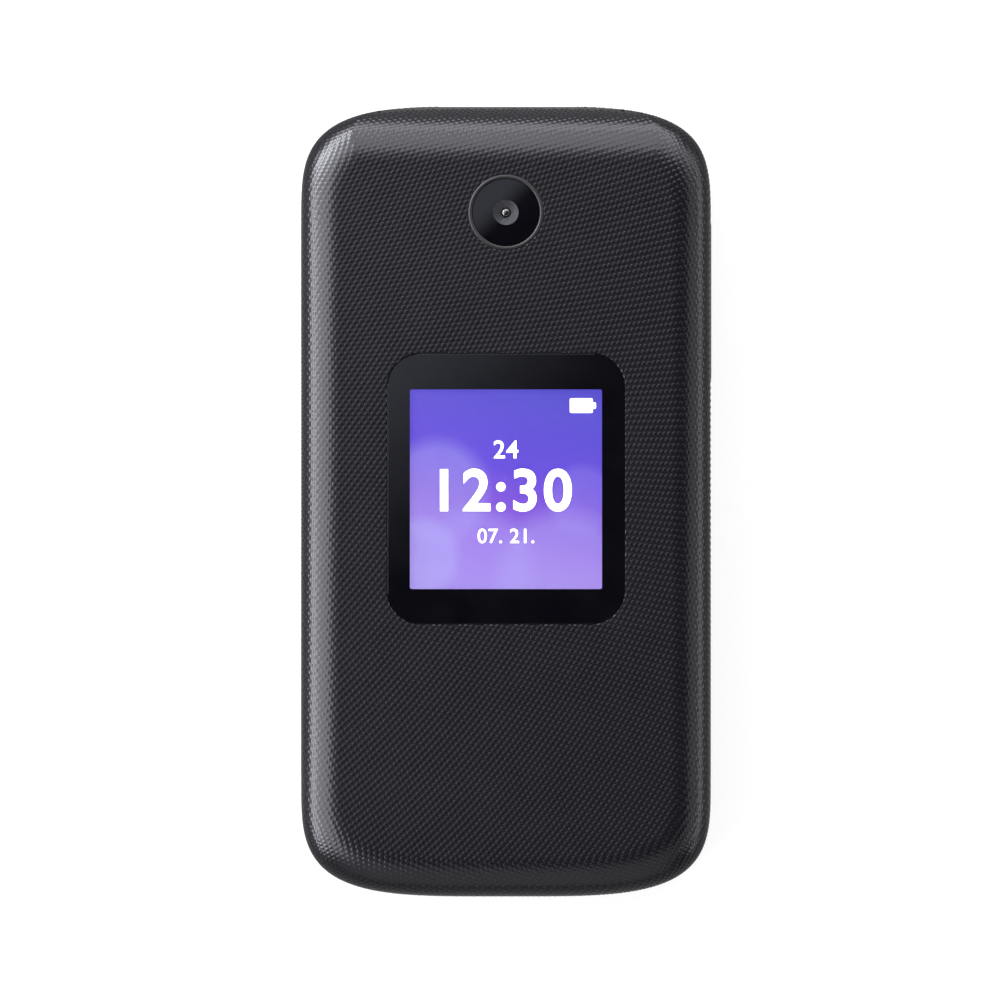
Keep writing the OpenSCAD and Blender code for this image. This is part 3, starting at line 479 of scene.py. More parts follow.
class Solid:
    """A closed mesh that is shaped step by step, in millimetres."""

    def __init__(self, verts: Iterable[Sequence[float]], faces: Iterable[Sequence[int]]) -> None:
        """Starts from points and faces.

        Args:
            verts: Points in millimetres.
            faces: Rows of point numbers.
        """
        mesh = bpy.data.meshes.new("solid")
        mesh.from_pydata([tuple(float(c) for c in v) for v in verts], [], [tuple(f) for f in faces])
        mesh.update()
        self.mesh = mesh

    @classmethod
    def loft(cls, rings: Sequence[Sequence[Sequence[float]]]) -> "Solid":
        """Skins rings of equally many points and caps both ends.

        Args:
            rings: Rings of 3-D points, anticlockwise seen from the last ring's side.

        Returns:
            The solid.
        """
        count = len(rings[0])
        verts = [p for ring in rings for p in ring]
        faces: list[Sequence[int]] = [list(range(count - 1, -1, -1))]
        for j in range(len(rings) - 1):
            for i in range(count):
                a, b = j * count + i, j * count + (i + 1) % count
                faces.append([a, b, b + count, a + count])
        faces.append([(len(rings) - 1) * count + i for i in range(count)])
        return cls(verts, faces)

    @classmethod
    def raised(cls, ring: Iterable[Point2], *heights: float) -> "Solid":
        """Returns a closed outline raised through the heights."""
        points = list(ring)
        return cls.loft([[(x, y, z) for x, y in points] for z in heights])

    @classmethod
    def slab(cls, outline: Callable[[float], Sequence[Point2]], low: float, high: float,
             round_low: float = 0.0, round_high: float = 0.0, steps: int = 4) -> "Solid":
        """Raises an outline to a slab with rounded edges.

        Args:
            outline: Gives the outline set in by a distance.
            low: Bottom height.
            high: Top height.
            round_low: Radius of the bottom edge.
            round_high: Radius of the top edge.
            steps: Segments in each rounded edge.

        Returns:
            The solid.
        """
        def edge(radius: float) -> list[Point2]:
            """Returns drops and insets down a rounded edge."""
            if not radius:
                return [(0.0, 0.0)]
            turns = (math.radians(90 * i / steps) for i in range(steps + 1))
            return [(radius * (1 - math.sin(a)), radius * (1 - math.cos(a))) for a in turns]

        rings = [(low + drop, inset) for drop, inset in edge(round_low)[::-1]]
        rings += [(high - drop, inset) for drop, inset in edge(round_high)]
        return cls.loft([[(x, y, z) for x, y in outline(inset)] for z, inset in rings])

    @classmethod
    def pad(cls, width: float, length: float, radius: float, low: float, high: float,
            centre: Point2 = (0.0, 0.0), round_low: float = 0.0, round_high: float = 0.0,
            steps: int = 8) -> "Solid":
        """Raises a rectangle with rounded corners.

        Args:
            width: Size across.
            length: Size along.
            radius: Corner radius.
            low: Bottom height.
            high: Top height.
            centre: Middle of the rectangle.
            round_low: Radius of the bottom edge.
            round_high: Radius of the top edge.
            steps: Segments in each corner.

        Returns:
            The solid.
        """
        def outline(inset: float) -> list[Point2]:
            """Returns the rectangle set in by a distance."""
            return frame_points(width - 2 * inset, length - 2 * inset, max(radius - inset, 0.02),
                                steps, centre)
        return cls.slab(outline, low, high, round_low, round_high)

    @classmethod
    def block(cls, x: Point2, y: Point2, z: Point2) -> "Solid":
        """Returns a box from its spans."""
        low = [(x[0], y[0], z[0]), (x[1], y[0], z[0]), (x[1], y[1], z[0]), (x[0], y[1], z[0])]
        return cls.loft([low, [(a, b, z[1]) for a, b, _ in low]])

    @classmethod
    def rod(cls, radius: float, low: float, high: float, centre: Point2 = (0.0, 0.0),
            count: int = 64) -> "Solid":
        """Returns an upright cylinder."""
        return cls.raised(ring_points(radius, count, centre), low, high)

    @classmethod
    def rods(cls, radius: float, low: float, high: float, spots: Iterable[Point2],
             count: int = 32) -> "Solid":
        """Returns an upright cylinder on every spot."""
        return cls.group(cls.rod(radius, low, high, at, count) for at in spots)

    @classmethod
    def turned(cls, profile: Sequence[Point2], centre: Point2, count: int = 96) -> "Solid":
        """Turns a closed profile about an upright axis.

        Args:
            profile: (radius, height) points, anticlockwise with the axis on the left.
            centre: Where the axis stands.
            count: Segments round the axis.

        Returns:
            The solid. A profile that touches the axis at its ends closes there.
        """
        closed = profile[0][0] > 1e-6 and profile[-1][0] > 1e-6
        verts: list[Sequence[float]] = []
        rows: list[list[int]] = []
        for radius, height in profile:
            if radius < 1e-6:
                rows.append([len(verts)] * count)
                verts.append((centre[0], centre[1], height))
            else:
                rows.append(list(range(len(verts), len(verts) + count)))
                verts.extend((x, y, height) for x, y in ring_points(radius, count, centre))
        faces = []
        pairs = list(zip(rows, rows[1:])) + ([(rows[-1], rows[0])] if closed else [])
        for low, high in pairs:
            for i in range(count):
                j = (i + 1) % count
                face = [low[i], low[j], high[j], high[i]]
                faces.append([v for k, v in enumerate(face) if v != face[k - 1]])
        return cls(verts, faces)

    @classmethod
    def along_x(cls, profile: Sequence[Point2], x: Point2) -> "Solid":
        """Pulls a (y, z) profile, anticlockwise seen from +X, along X."""
        return cls.loft([[(x[0], y, z) for y, z in profile], [(x[1], y, z) for y, z in profile]])

    @classmethod
    def group(cls, parts: Iterable["Solid"]) -> "Solid":
        """Returns separate solids as one mesh."""
        verts: list[Sequence[float]] = []
        faces: list[Sequence[int]] = []
        for part in parts:
            start = len(verts)
            verts.extend(tuple(v.co) for v in part.mesh.vertices)
            faces.extend([start + k for k in f.vertices] for f in part.mesh.polygons)
        return cls(verts, faces)

    def laid(self, along: str, at: Sequence[float] = (0.0, 0.0, 0.0)) -> "Solid":
        """Turns a solid that stands along Z so that it points along another axis, then moves it.

        Args:
            along: "x" keeps its plan's X on Y, "y" keeps its plan's X on X.
            at: Where its origin goes.

        Returns:
            The solid.
        """
        rows = {"x": ((0, 0, 1), (1, 0, 0), (0, 1, 0)), "y": ((1, 0, 0), (0, 0, 1), (0, -1, 0)),
                "z": ((1, 0, 0), (0, 1, 0), (0, 0, 1))}[along]
        self.mesh.transform(Matrix([(*row, at[k]) for k, row in enumerate(rows)] + [(0, 0, 0, 1)]))
        return self

    def under(self, height: float) -> "Solid":
        """Mirrors the solid in a level plane."""
        for v in self.mesh.vertices:
            v.co.z = 2 * height - v.co.z
        self.mesh.flip_normals()
        return self

    def merged(self, gap: float = 0.0005) -> "Solid":
        """Joins points that lie together."""
        work = bmesh.new()
        work.from_mesh(self.mesh)
        bmesh.ops.remove_doubles(work, verts=work.verts, dist=gap)
        bmesh.ops.recalc_face_normals(work, faces=work.faces)
        work.to_mesh(self.mesh)
        work.free()
        return self

    def _apply(self, operation: str, other: "Solid") -> "Solid":
        """Runs one exact boolean and keeps its result.

        Args:
            operation: The boolean's name.
            other: The second solid.

        Returns:
            This solid.
        """
        a = bpy.data.objects.new("boolean_a", self.mesh)
        b = bpy.data.objects.new("boolean_b", other.mesh)
        for o in (a, b):
            bpy.context.scene.collection.objects.link(o)
        modifier = a.modifiers.new("boolean", "BOOLEAN")
        modifier.operation = operation
        modifier.solver = "EXACT"
        modifier.object = b
        graph = bpy.context.evaluated_depsgraph_get()
        self.mesh = bpy.data.meshes.new_from_object(a.evaluated_get(graph))
        for o in (a, b):
            bpy.data.objects.remove(o)
        return self

    def cut(self, *others: "Solid") -> "Solid":
        """Takes other solids away."""
        for other in others:
            self._apply("DIFFERENCE", other)
        return self

    def add(self, *others: "Solid") -> "Solid":
        """Joins other solids on."""
        for other in others:
            self._apply("UNION", other)
        return self

    def keep(self, *others: "Solid") -> "Solid":
        """Keeps what lies inside other solids too."""
        for other in others:
            self._apply("INTERSECT", other)
        return self

    def piece(self, name: str, finish: Dress, body: str, slot: str | None = None,
              replaces: Sequence[str] = (), sharp: float = 32.0, inlay: Dress | None = None,
              inlaid: Callable[[Vector], bool] | None = None,
              dome: tuple[Point2, float, float] | None = None) -> bpy.types.Object:
        """Makes the finished piece and puts it on its body.

        Args:
            name: The piece's name.
            finish: Its finish.
            body: The CAD body that it rides on.
            slot: The record's material slot; not used.
            replaces: CAD nodes that it stands for.
            sharp: Edges that turn by more degrees than this stay crisp.
            inlay: A second finish.
            inlaid: Says from a face's middle, in millimetres, whether it takes the second finish.
            dome: Middle, radius and lowest height of a shallow crown, shaded as a true sphere.

        Returns:
            The object.
        """
        mesh = self.mesh
        mesh.materials.clear()
        mesh.materials.append(material_of(finish))
        if inlay and inlaid:
            mesh.materials.append(material_of(inlay))
            for face in mesh.polygons:
                face.material_index = int(inlaid(face.center))
        mesh.transform(Matrix.Scale(MM, 4))
        mesh.shade_smooth()
        mesh.set_sharp_from_angle(angle=math.radians(sharp))
        if dome:
            (cx, cy), radius, above = dome
            normals = [Vector() for _ in mesh.loops]
            for face in mesh.polygons:
                if face.normal.z > 0.98 and face.center.z > above * MM and len(face.vertices) > 2:
                    for k in face.loop_indices:
                        at = mesh.vertices[mesh.loops[k].vertex_index].co
                        normals[k] = Vector((at.x - cx * MM, at.y - cy * MM, radius * MM)).normalized()
            mesh.normals_split_custom_set(normals)
        return place(name, mesh, body, slot, replaces)


def place(name: str, mesh: bpy.types.Mesh, body: str, slot: str | None = None,
          replaces: Sequence[str] = ()) -> bpy.types.Object:
    """Links a finished mesh as a piece.

    Args:
        name: The piece's name. A CAD node of the same name makes room for it.
        mesh: The mesh, in metres.
        body: The CAD body that it rides on, or nothing for a piece that rides on no body.
        slot: The record's material slot; not used.
        replaces: CAD nodes that it stands for.

    Returns:
        The object.
    """
    mesh.name = name
    made = bpy.data.objects.new(name, mesh)
    bpy.context.scene.collection.objects.link(made)
    if body:
        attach(made, body)
    if replaces:
        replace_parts(made, *replaces)
    LOG.info("%s: %d faces on %s", name, len(mesh.polygons), body)
    return made


# ------------------------------------------------------------------ the shell's rule


@dataclass(frozen=True)
class Outline:
    """The phone's plan: straight sides and two arched ends with square shoulders."""

    half_w: float = 27.205
    half_l: float = 52.555
    end_h: float = 16.075
    end_p: float = 3.97
    end_q: float = 3.79

    def rule(self, count: int) -> tuple[np.ndarray, np.ndarray, np.ndarray]:
        """Spaces points evenly round the outline.

        Args:
            count: About how many points.

        Returns:
            The across share, the along share and the base y of each.
        """
        turn = np.linspace(0, math.pi / 2, 6000)
        across = np.cos(turn) ** (2 / self.end_p)
        along = np.sin(turn) ** (2 / self.end_q)
        x, y = self.half_w * across, self.end_h * along
        run = np.concatenate([[0], np.cumsum(np.hypot(np.diff(x), np.diff(y)))])
        arc = max(8, round(count * run[-1] / (4 * run[-1] + 4 * (self.half_l - self.end_h))))
        side = max(4, count // 2 - 2 * arc)
        turn_at = np.interp(np.linspace(0, run[-1], arc + 1), run, turn)
        across = np.cos(turn_at) ** (2 / self.end_p)
        along = np.sin(turn_at) ** (2 / self.end_q)
        across[-1] = 0.0
        base = self.half_l - self.end_h
        line = np.linspace(-base, base, side + 1)[1:-1]
        cols: list[tuple[float, float, float]] = []
        cols += [(c, s, base) for c, s in zip(across, along)]
        cols += [(-c, s, base) for c, s in zip(across[-2::-1], along[-2::-1])]
        cols += [(-1.0, 0.0, y0) for y0 in line[::-1]]
        cols += [(-c, -s, -base) for c, s in zip(across, along)]
        cols += [(c, -s, -base) for c, s in zip(across[-2::-1], along[-2::-1])]
        cols += [(1.0, 0.0, y0) for y0 in line]
        table = np.array(cols)
        return table[:, 0], table[:, 1], table[:, 2]

    def points(self, inset: float, count: int = 300) -> np.ndarray:
        """Gives the outline set in by a distance.

        Args:
            inset: Distance in from the outline.
            count: About how many points.

        Returns:
            Points as rows of x, y, anticlockwise.
        """
        across, along, base = self.rule(count)
        return np.stack([(self.half_w - inset) * across, base + (self.end_h - inset) * along], axis=1)

    def inset_of(self, points: np.ndarray, deepest: float = 9.0) -> np.ndarray:
        """Finds how far inside the outline points lie.

        Args:
            points: Rows of x, y.
            deepest: The most that is told apart.

        Returns:
            Insets, negative outside.
        """
        low = np.full(len(points), -1.0)
        high = np.full(len(points), deepest)
        x = np.abs(points[:, 0])
        y = np.maximum(np.abs(points[:, 1]) - (self.half_l - self.end_h), 0)
        for _ in range(24):
            mid = (low + high) / 2
            inside = (x / (self.half_w - mid)) ** self.end_p + (y / (self.end_h - mid)) ** self.end_q <= 1
            low, high = np.where(inside, mid, low), np.where(inside, high, mid)
        return low


@dataclass(frozen=True)
class LidShell:
    """The lid's outer surface: a flat face, a rolled edge, a side wall and the hinge barrel."""

    outline: Outline = field(default_factory=Outline)
    top: float = 18.74
    foot: float = 10.5
    roll_w: float = 5.2
    roll_h: float = 4.3
    skin: float = 1.1
    axis_y: float = 45.2
    axis_z: float = 11.4
    barrel_r: float = 7.305
    skin_end: float = 47.0

    def roll_height(self, inset: np.ndarray) -> np.ndarray:
        """Returns the face's height at insets."""
        share = np.clip(1 - inset / self.roll_w, 0, 1)
        return self.top - self.roll_h + self.roll_h * np.sqrt(1 - share ** 2)

    def rolled(self, low: float, top: float, inset: float, width: float, height: float,
               count: int = 300, steps: int = 12) -> Solid:
        """Lofts a body with a rolled upper edge.

        Args:
            low: Bottom height.
            top: Top height.
            inset: Inset of the side wall.
            width: Width of the roll.
            height: Height of the roll.
            count: Points in the outline.
            steps: Segments in the roll.

        Returns:
            The solid.
        """
        levels = [(low, inset)]
        for i in range(steps + 1):
            a = math.radians(90 * i / steps)
            levels.append((top - height + height * math.sin(a), inset + width * (1 - math.cos(a))))
        return Solid.loft([[(x, y, z) for x, y in self.outline.points(d, count)] for z, d in levels])

    def _limit(self, radius: float, low: float, ends: float, sector: bool) -> Solid:
        """Returns the space in front of the hinge line together with the barrel.

        Args:
            radius: Radius of the barrel.
            low: Bottom height.
            ends: Reach across.
            sector: Whether only the barrel's open sector counts, and not its underside.

        Returns:
            The space.
        """
        start = -self.skin_end if sector else -90.0
        arc = [(self.axis_y + radius * math.cos(a), self.axis_z + radius * math.sin(a))
               for a in map(math.radians, np.linspace(start, 90, 72))]
        head = [(-70.0, low), (self.axis_y, low)]
        if sector:
            head.append((self.axis_y, self.axis_z))
        return Solid.along_x([*head, *arc, (self.axis_y, 40.0), (-70.0, 40.0)], (-ends, ends))

    def outer(self) -> Solid:
        """Returns the outer form."""
        return self.rolled(4.0, self.top, 0.0, self.roll_w, self.roll_h).keep(
            self._limit(self.barrel_r, self.foot, 40.0, True))

    def cavity(self) -> Solid:
        """Returns the hollow inside."""
        return self.rolled(3.0, self.top - self.skin, self.skin, self.roll_w - 0.6, self.roll_h - 0.5).keep(
            self._limit(self.barrel_r - self.skin, 2.0, 41.0, False))


@dataclass(frozen=True)
class Lattice:
    """The knurl's pattern: two families of slightly curved rows that cross."""

    rows: tuple[float, float, float, float, float] = (1.323, -0.7785, 0.0086, 0.0059, 0.0039)
    files: tuple[float, float, float] = (0.086, 1.49, -0.0112)
    most: int = 140

    def crossings(self, half_x: float, half_y: float) -> tuple[np.ndarray, np.ndarray]:
        """Finds where the rows cross.

        Args:
            half_x: Reach across.
            half_y: Reach along.

        Returns:
            Points as rows of x, y, and the direction of the row at each.
        """
        a, b, axx, axy, ayy = self.rows
        c, d, e = self.files
        count = np.arange(-self.most, self.most + 1)
        i, j = np.meshgrid(count, count)
        i, j = i.ravel().astype(float), j.ravel().astype(float)
        base = a * d - b * c
        x, y = (d * i - b * j) / base, (a * j - c * i) / base
        near = (np.abs(x) < half_x + 25) & (np.abs(y) < half_y + 30)
        i, j, x, y = i[near], j[near], x[near], y[near]
        for _ in range(12):
            first = a * x + b * y + 0.5 * (axx * x * x + 2 * axy * x * y + ayy * y * y) - i
            second = c * x + d * y + e * x * y - j
            fx, fy = a + axx * x + axy * y, b + axy * x + ayy * y
            sx, sy = c + e * y, d + e * x
            det = fx * sy - fy * sx
            x = x - (sy * first - fy * second) / det
            y = y - (fx * second - sx * first) / det
        good = np.isfinite(x) & np.isfinite(y) & (np.abs(x) < half_x) & (np.abs(y) < half_y)
        x, y = x[good], y[good]
        fx, fy = a + axx * x + axy * y, b + axy * x + ayy * y
        row = np.stack([-fy, fx], axis=1)
        return np.stack([x, y], axis=1), row / np.linalg.norm(row, axis=1, keepdims=True)


@dataclass
class Spots:
    """Places on a surface, with the way up and the way along at each."""

    at: np.ndarray
    up: np.ndarray
    along: np.ndarray

    def where(self, mask: np.ndarray) -> "Spots":
        """Returns the spots that a mask keeps."""
        return Spots(self.at[mask], self.up[mask], self.along[mask])

    def joined(self, other: "Spots") -> "Spots":
        """Returns both sets of spots."""
        return Spots(*(np.concatenate([a, b]) for a, b in
                       ((self.at, other.at), (self.up, other.up), (self.along, other.along))))


@dataclass(frozen=True)
class LidSkin:
    """Lays the knurl's pattern over the lid's outer surface without stretching it."""

    shell: LidShell
    lattice: Lattice = field(default_factory=Lattice)
    half_x: float = 36.0
    half_y: Point2 = (62.0, 66.0)
    deepest: float = 26.0
    edge_points: int = 7000

    def _rolled(self) -> Spots:
        """Lays the pattern over the flat face, the roll and the side wall."""
        shell, outline = self.shell, self.shell.outline
        flat, row = self.lattice.crossings(self.half_x, self.half_y[0])
        inset = outline.inset_of(flat, self.deepest)
        on_face = inset >= shell.roll_w
        at = np.column_stack([flat, np.full(len(flat), shell.top)])
        up = np.tile([0.0, 0.0, 1.0], (len(flat), 1))
        along = np.column_stack([row, np.zeros(len(flat))])
        edge = outline.points(shell.roll_w, self.edge_points)
        step = np.roll(edge, -1, axis=0) - np.roll(edge, 1, axis=0)
        out = np.stack([step[:, 1], -step[:, 0]], axis=1)
        out /= np.linalg.norm(out, axis=1, keepdims=True)
        tree = kdtree.KDTree(len(edge))
        for k, (x, y) in enumerate(edge):
            tree.insert((x, y, 0), k)
        tree.balance()
        turn = np.linspace(0, math.pi / 2, 400)
        px, pz = shell.roll_w * np.cos(turn), shell.roll_h * np.sin(turn)
        run = np.concatenate([[0], np.cumsum(np.hypot(np.diff(px[::-1]), np.diff(pz[::-1])))])
        turns = turn[::-1]
        across, length, base = outline.rule(self.edge_points)
        for k in np.flatnonzero(~on_face):
            _, n, gap = tree.find((flat[k, 0], flat[k, 1], 0))
            if gap > run[-1] + shell.top - shell.roll_h - shell.foot:
                at[k, 2] = -99
                continue
            theta = float(np.interp(gap, run, turns)) if gap < run[-1] else 0.0
            inset_k = shell.roll_w * (1 - math.cos(theta))
            drop = max(0.0, gap - run[-1])
            height = shell.top - shell.roll_h + shell.roll_h * math.sin(theta) - drop
            x = (outline.half_w - inset_k) * across[n]
            y = base[n] + (outline.end_h - inset_k) * length[n]
            side, rise = shell.roll_h * math.cos(theta), shell.roll_w * math.sin(theta)
            size = math.hypot(side, rise)
            side, rise = side / size, rise / size
            normal = out[n]
            at[k] = (x, y, height)
            up[k] = (normal[0] * side, normal[1] * side, rise)
            outward = float(row[k] @ normal)
            tangent = np.array([-normal[1], normal[0]])
            sideways = float(row[k] @ tangent)
            along[k] = (tangent[0] * sideways + normal[0] * outward * rise,
                        tangent[1] * sideways + normal[1] * outward * rise, -outward * side)
        over = np.clip(at[:, 1] - shell.axis_y, 0, shell.barrel_r)
        barrel = shell.axis_z + np.sqrt(shell.barrel_r ** 2 - over ** 2)
        fine = (at[:, 2] > shell.foot + 0.45) & ((at[:, 1] < shell.axis_y) | (at[:, 2] < barrel - 0.02))
        fine &= at[:, 1] < shell.axis_y + shell.barrel_r
        return Spots(at, up, along).where(fine)

    def _barrel(self) -> Spots:
        """Lays the pattern over the hinge barrel."""
        shell = self.shell
        flat, row = self.lattice.crossings(self.half_x, self.half_y[1])
        turn = (flat[:, 1] - shell.axis_y) / shell.barrel_r
        s, c = np.sin(turn), np.cos(turn)
        at = np.stack([flat[:, 0], shell.axis_y + shell.barrel_r * s,
                       shell.axis_z + shell.barrel_r * c], axis=1)
        up = np.stack([np.zeros_like(s), s, c], axis=1)
        along = np.stack([row[:, 0], row[:, 1] * c, -row[:, 1] * s], axis=1)
        inset = shell.outline.inset_of(at[:, :2], self.deepest)
        fine = (turn > 0) & (turn < math.radians(90 + shell.skin_end) - 0.05)
        fine &= (inset > 0.3) & (at[:, 2] < shell.roll_height(inset) - 0.02)
        return Spots(at, up, along).where(fine)

    def spots(self) -> Spots:
        """Returns every crossing on the lid's outer surface."""
        return self._rolled().joined(self._barrel())


# ------------------------------------------------------------------ node trees


class Tree(Nodes):
    """A Geometry Nodes tree with named inputs, which takes and gives geometry."""

    def __init__(self, name: str) -> None:
        """Starts a tree of this name."""
        super().__init__(bpy.data.node_groups.new(name, "GeometryNodeTree"))
        for way in ("INPUT", "OUTPUT"):
            self.tree.interface.new_socket("Geometry", in_out=way, socket_type="NodeSocketGeometry")
        self.source = self.node("NodeGroupInput")
        self.sink = self.node("NodeGroupOutput")
        self.keys: dict[str, str] = {}

    def size(self, name: str, kind: str = "NodeSocketFloat") -> bpy.types.NodeSocket:
        """Adds a named input.

        Args:
            name: What the input is called.
            kind: Its socket type.

        Returns:
            The socket that gives its value.
        """
        made = self.tree.interface.new_socket(name, in_out="INPUT", socket_type=kind)
        self.keys[name] = made.identifier
        return self.source.outputs[name]

    def close(self, instances: bpy.types.NodeSocket, finish: Dress, smooth: bool = True) -> None:
        """Makes the instances real and gives them their material.

        Args:
            instances: What the tree has made.
            finish: Their finish.
            smooth: Whether faces are shaded smooth.
        """
        real = self.node("GeometryNodeRealizeInstances", {"Geometry": instances})
        shade = self.node("GeometryNodeSetShadeSmooth", {"Geometry": real.outputs[0], "Shade Smooth": smooth})
        last = self.node("GeometryNodeSetMaterial", {
            "Geometry": shade.outputs[0], "Material": material_of(finish),
        })
        self.link(last.outputs[0], self.sink.inputs[0])

    def run(self, seeds: bpy.types.Mesh, values: dict[str, object]) -> bpy.types.Mesh:
        """Evaluates the tree over seed points.

        Args:
            seeds: Points, with the attributes that the tree reads.
            values: Values for the named inputs.

        Returns:
            A plain mesh.
        """
        holder = bpy.data.objects.new("seeds", seeds)
        bpy.context.scene.collection.objects.link(holder)
        modifier = holder.modifiers.new("nodes", "NODES")
        modifier.node_group = self.tree
        for name, value in values.items():
            modifier[self.keys[name]] = value
        graph = bpy.context.evaluated_depsgraph_get()
        made = bpy.data.meshes.new_from_object(holder.evaluated_get(graph))
        holder.modifiers.remove(modifier)
        bpy.data.objects.remove(holder)
        return made


def seed_mesh(spots: Spots) -> bpy.types.Mesh:
    """Turns spots into points with attributes up and along.

    Args:
        spots: Places in millimetres.

    Returns:
        A mesh of loose points in metres.
    """
    mesh = bpy.data.meshes.new("seeds")
    mesh.from_pydata([tuple(float(c) * MM for c in p) for p in spots.at], [], [])
    for name, rows in (("up", spots.up), ("along", spots.along)):
        made = mesh.attributes.new(name, "FLOAT_VECTOR", "POINT")
        made.data.foreach_set("vector", rows.astype(np.float32).ravel())
    return mesh


@dataclass(frozen=True)
class Knurl:
    """Low oval bumps set in rows on a surface."""

    long: float = 0.315
    wide: float = 0.285
    height: float = 0.075
    sides: int = 8

    def mesh(self, spots: Spots, finish: Dress) -> bpy.types.Mesh:
        """Sets a bump on every spot.

        Args:
            spots: Where the bumps stand.
            finish: Their finish.

        Returns:
            The bumps as one mesh.
        """
        tree = Tree("knurl_bumps")
        length, width = tree.size("Half length"), tree.size("Half width")
        height, sides = tree.size("Height"), tree.size("Sides", "NodeSocketInt")
        cone = tree.node("GeometryNodeMeshCone", {
            "Vertices": sides, "Radius Top": 0.0, "Radius Bottom": 1.0, "Depth": height,
        }, fill_type="NONE")
        scale = tree.node("ShaderNodeCombineXYZ", {"X": length, "Y": width, "Z": 1.0})
        up = tree.node("GeometryNodeInputNamedAttribute", {"Name": "up"}, data_type="FLOAT_VECTOR")
        along = tree.node("GeometryNodeInputNamedAttribute", {"Name": "along"}, data_type="FLOAT_VECTOR")
        first = tree.node("FunctionNodeAlignRotationToVector", {"Vector": up.outputs[0]}, axis="Z")
        second = tree.node("FunctionNodeAlignRotationToVector", {
            "Rotation": first.outputs[0], "Vector": along.outputs[0],
        }, axis="X", pivot_axis="Z")
        spread = tree.node("GeometryNodeInstanceOnPoints", {
            "Points": tree.source.outputs["Geometry"], "Instance": cone.outputs["Mesh"],
            "Rotation": second.outputs[0], "Scale": scale.outputs[0],
        })
        tree.close(spread.outputs[0], finish)
        return tree.run(seed_mesh(spots), {
            "Half length": self.long * MM, "Half width": self.wide * MM,
            "Height": self.height * MM, "Sides": self.sides,
        })


# ------------------------------------------------------------------ the lid


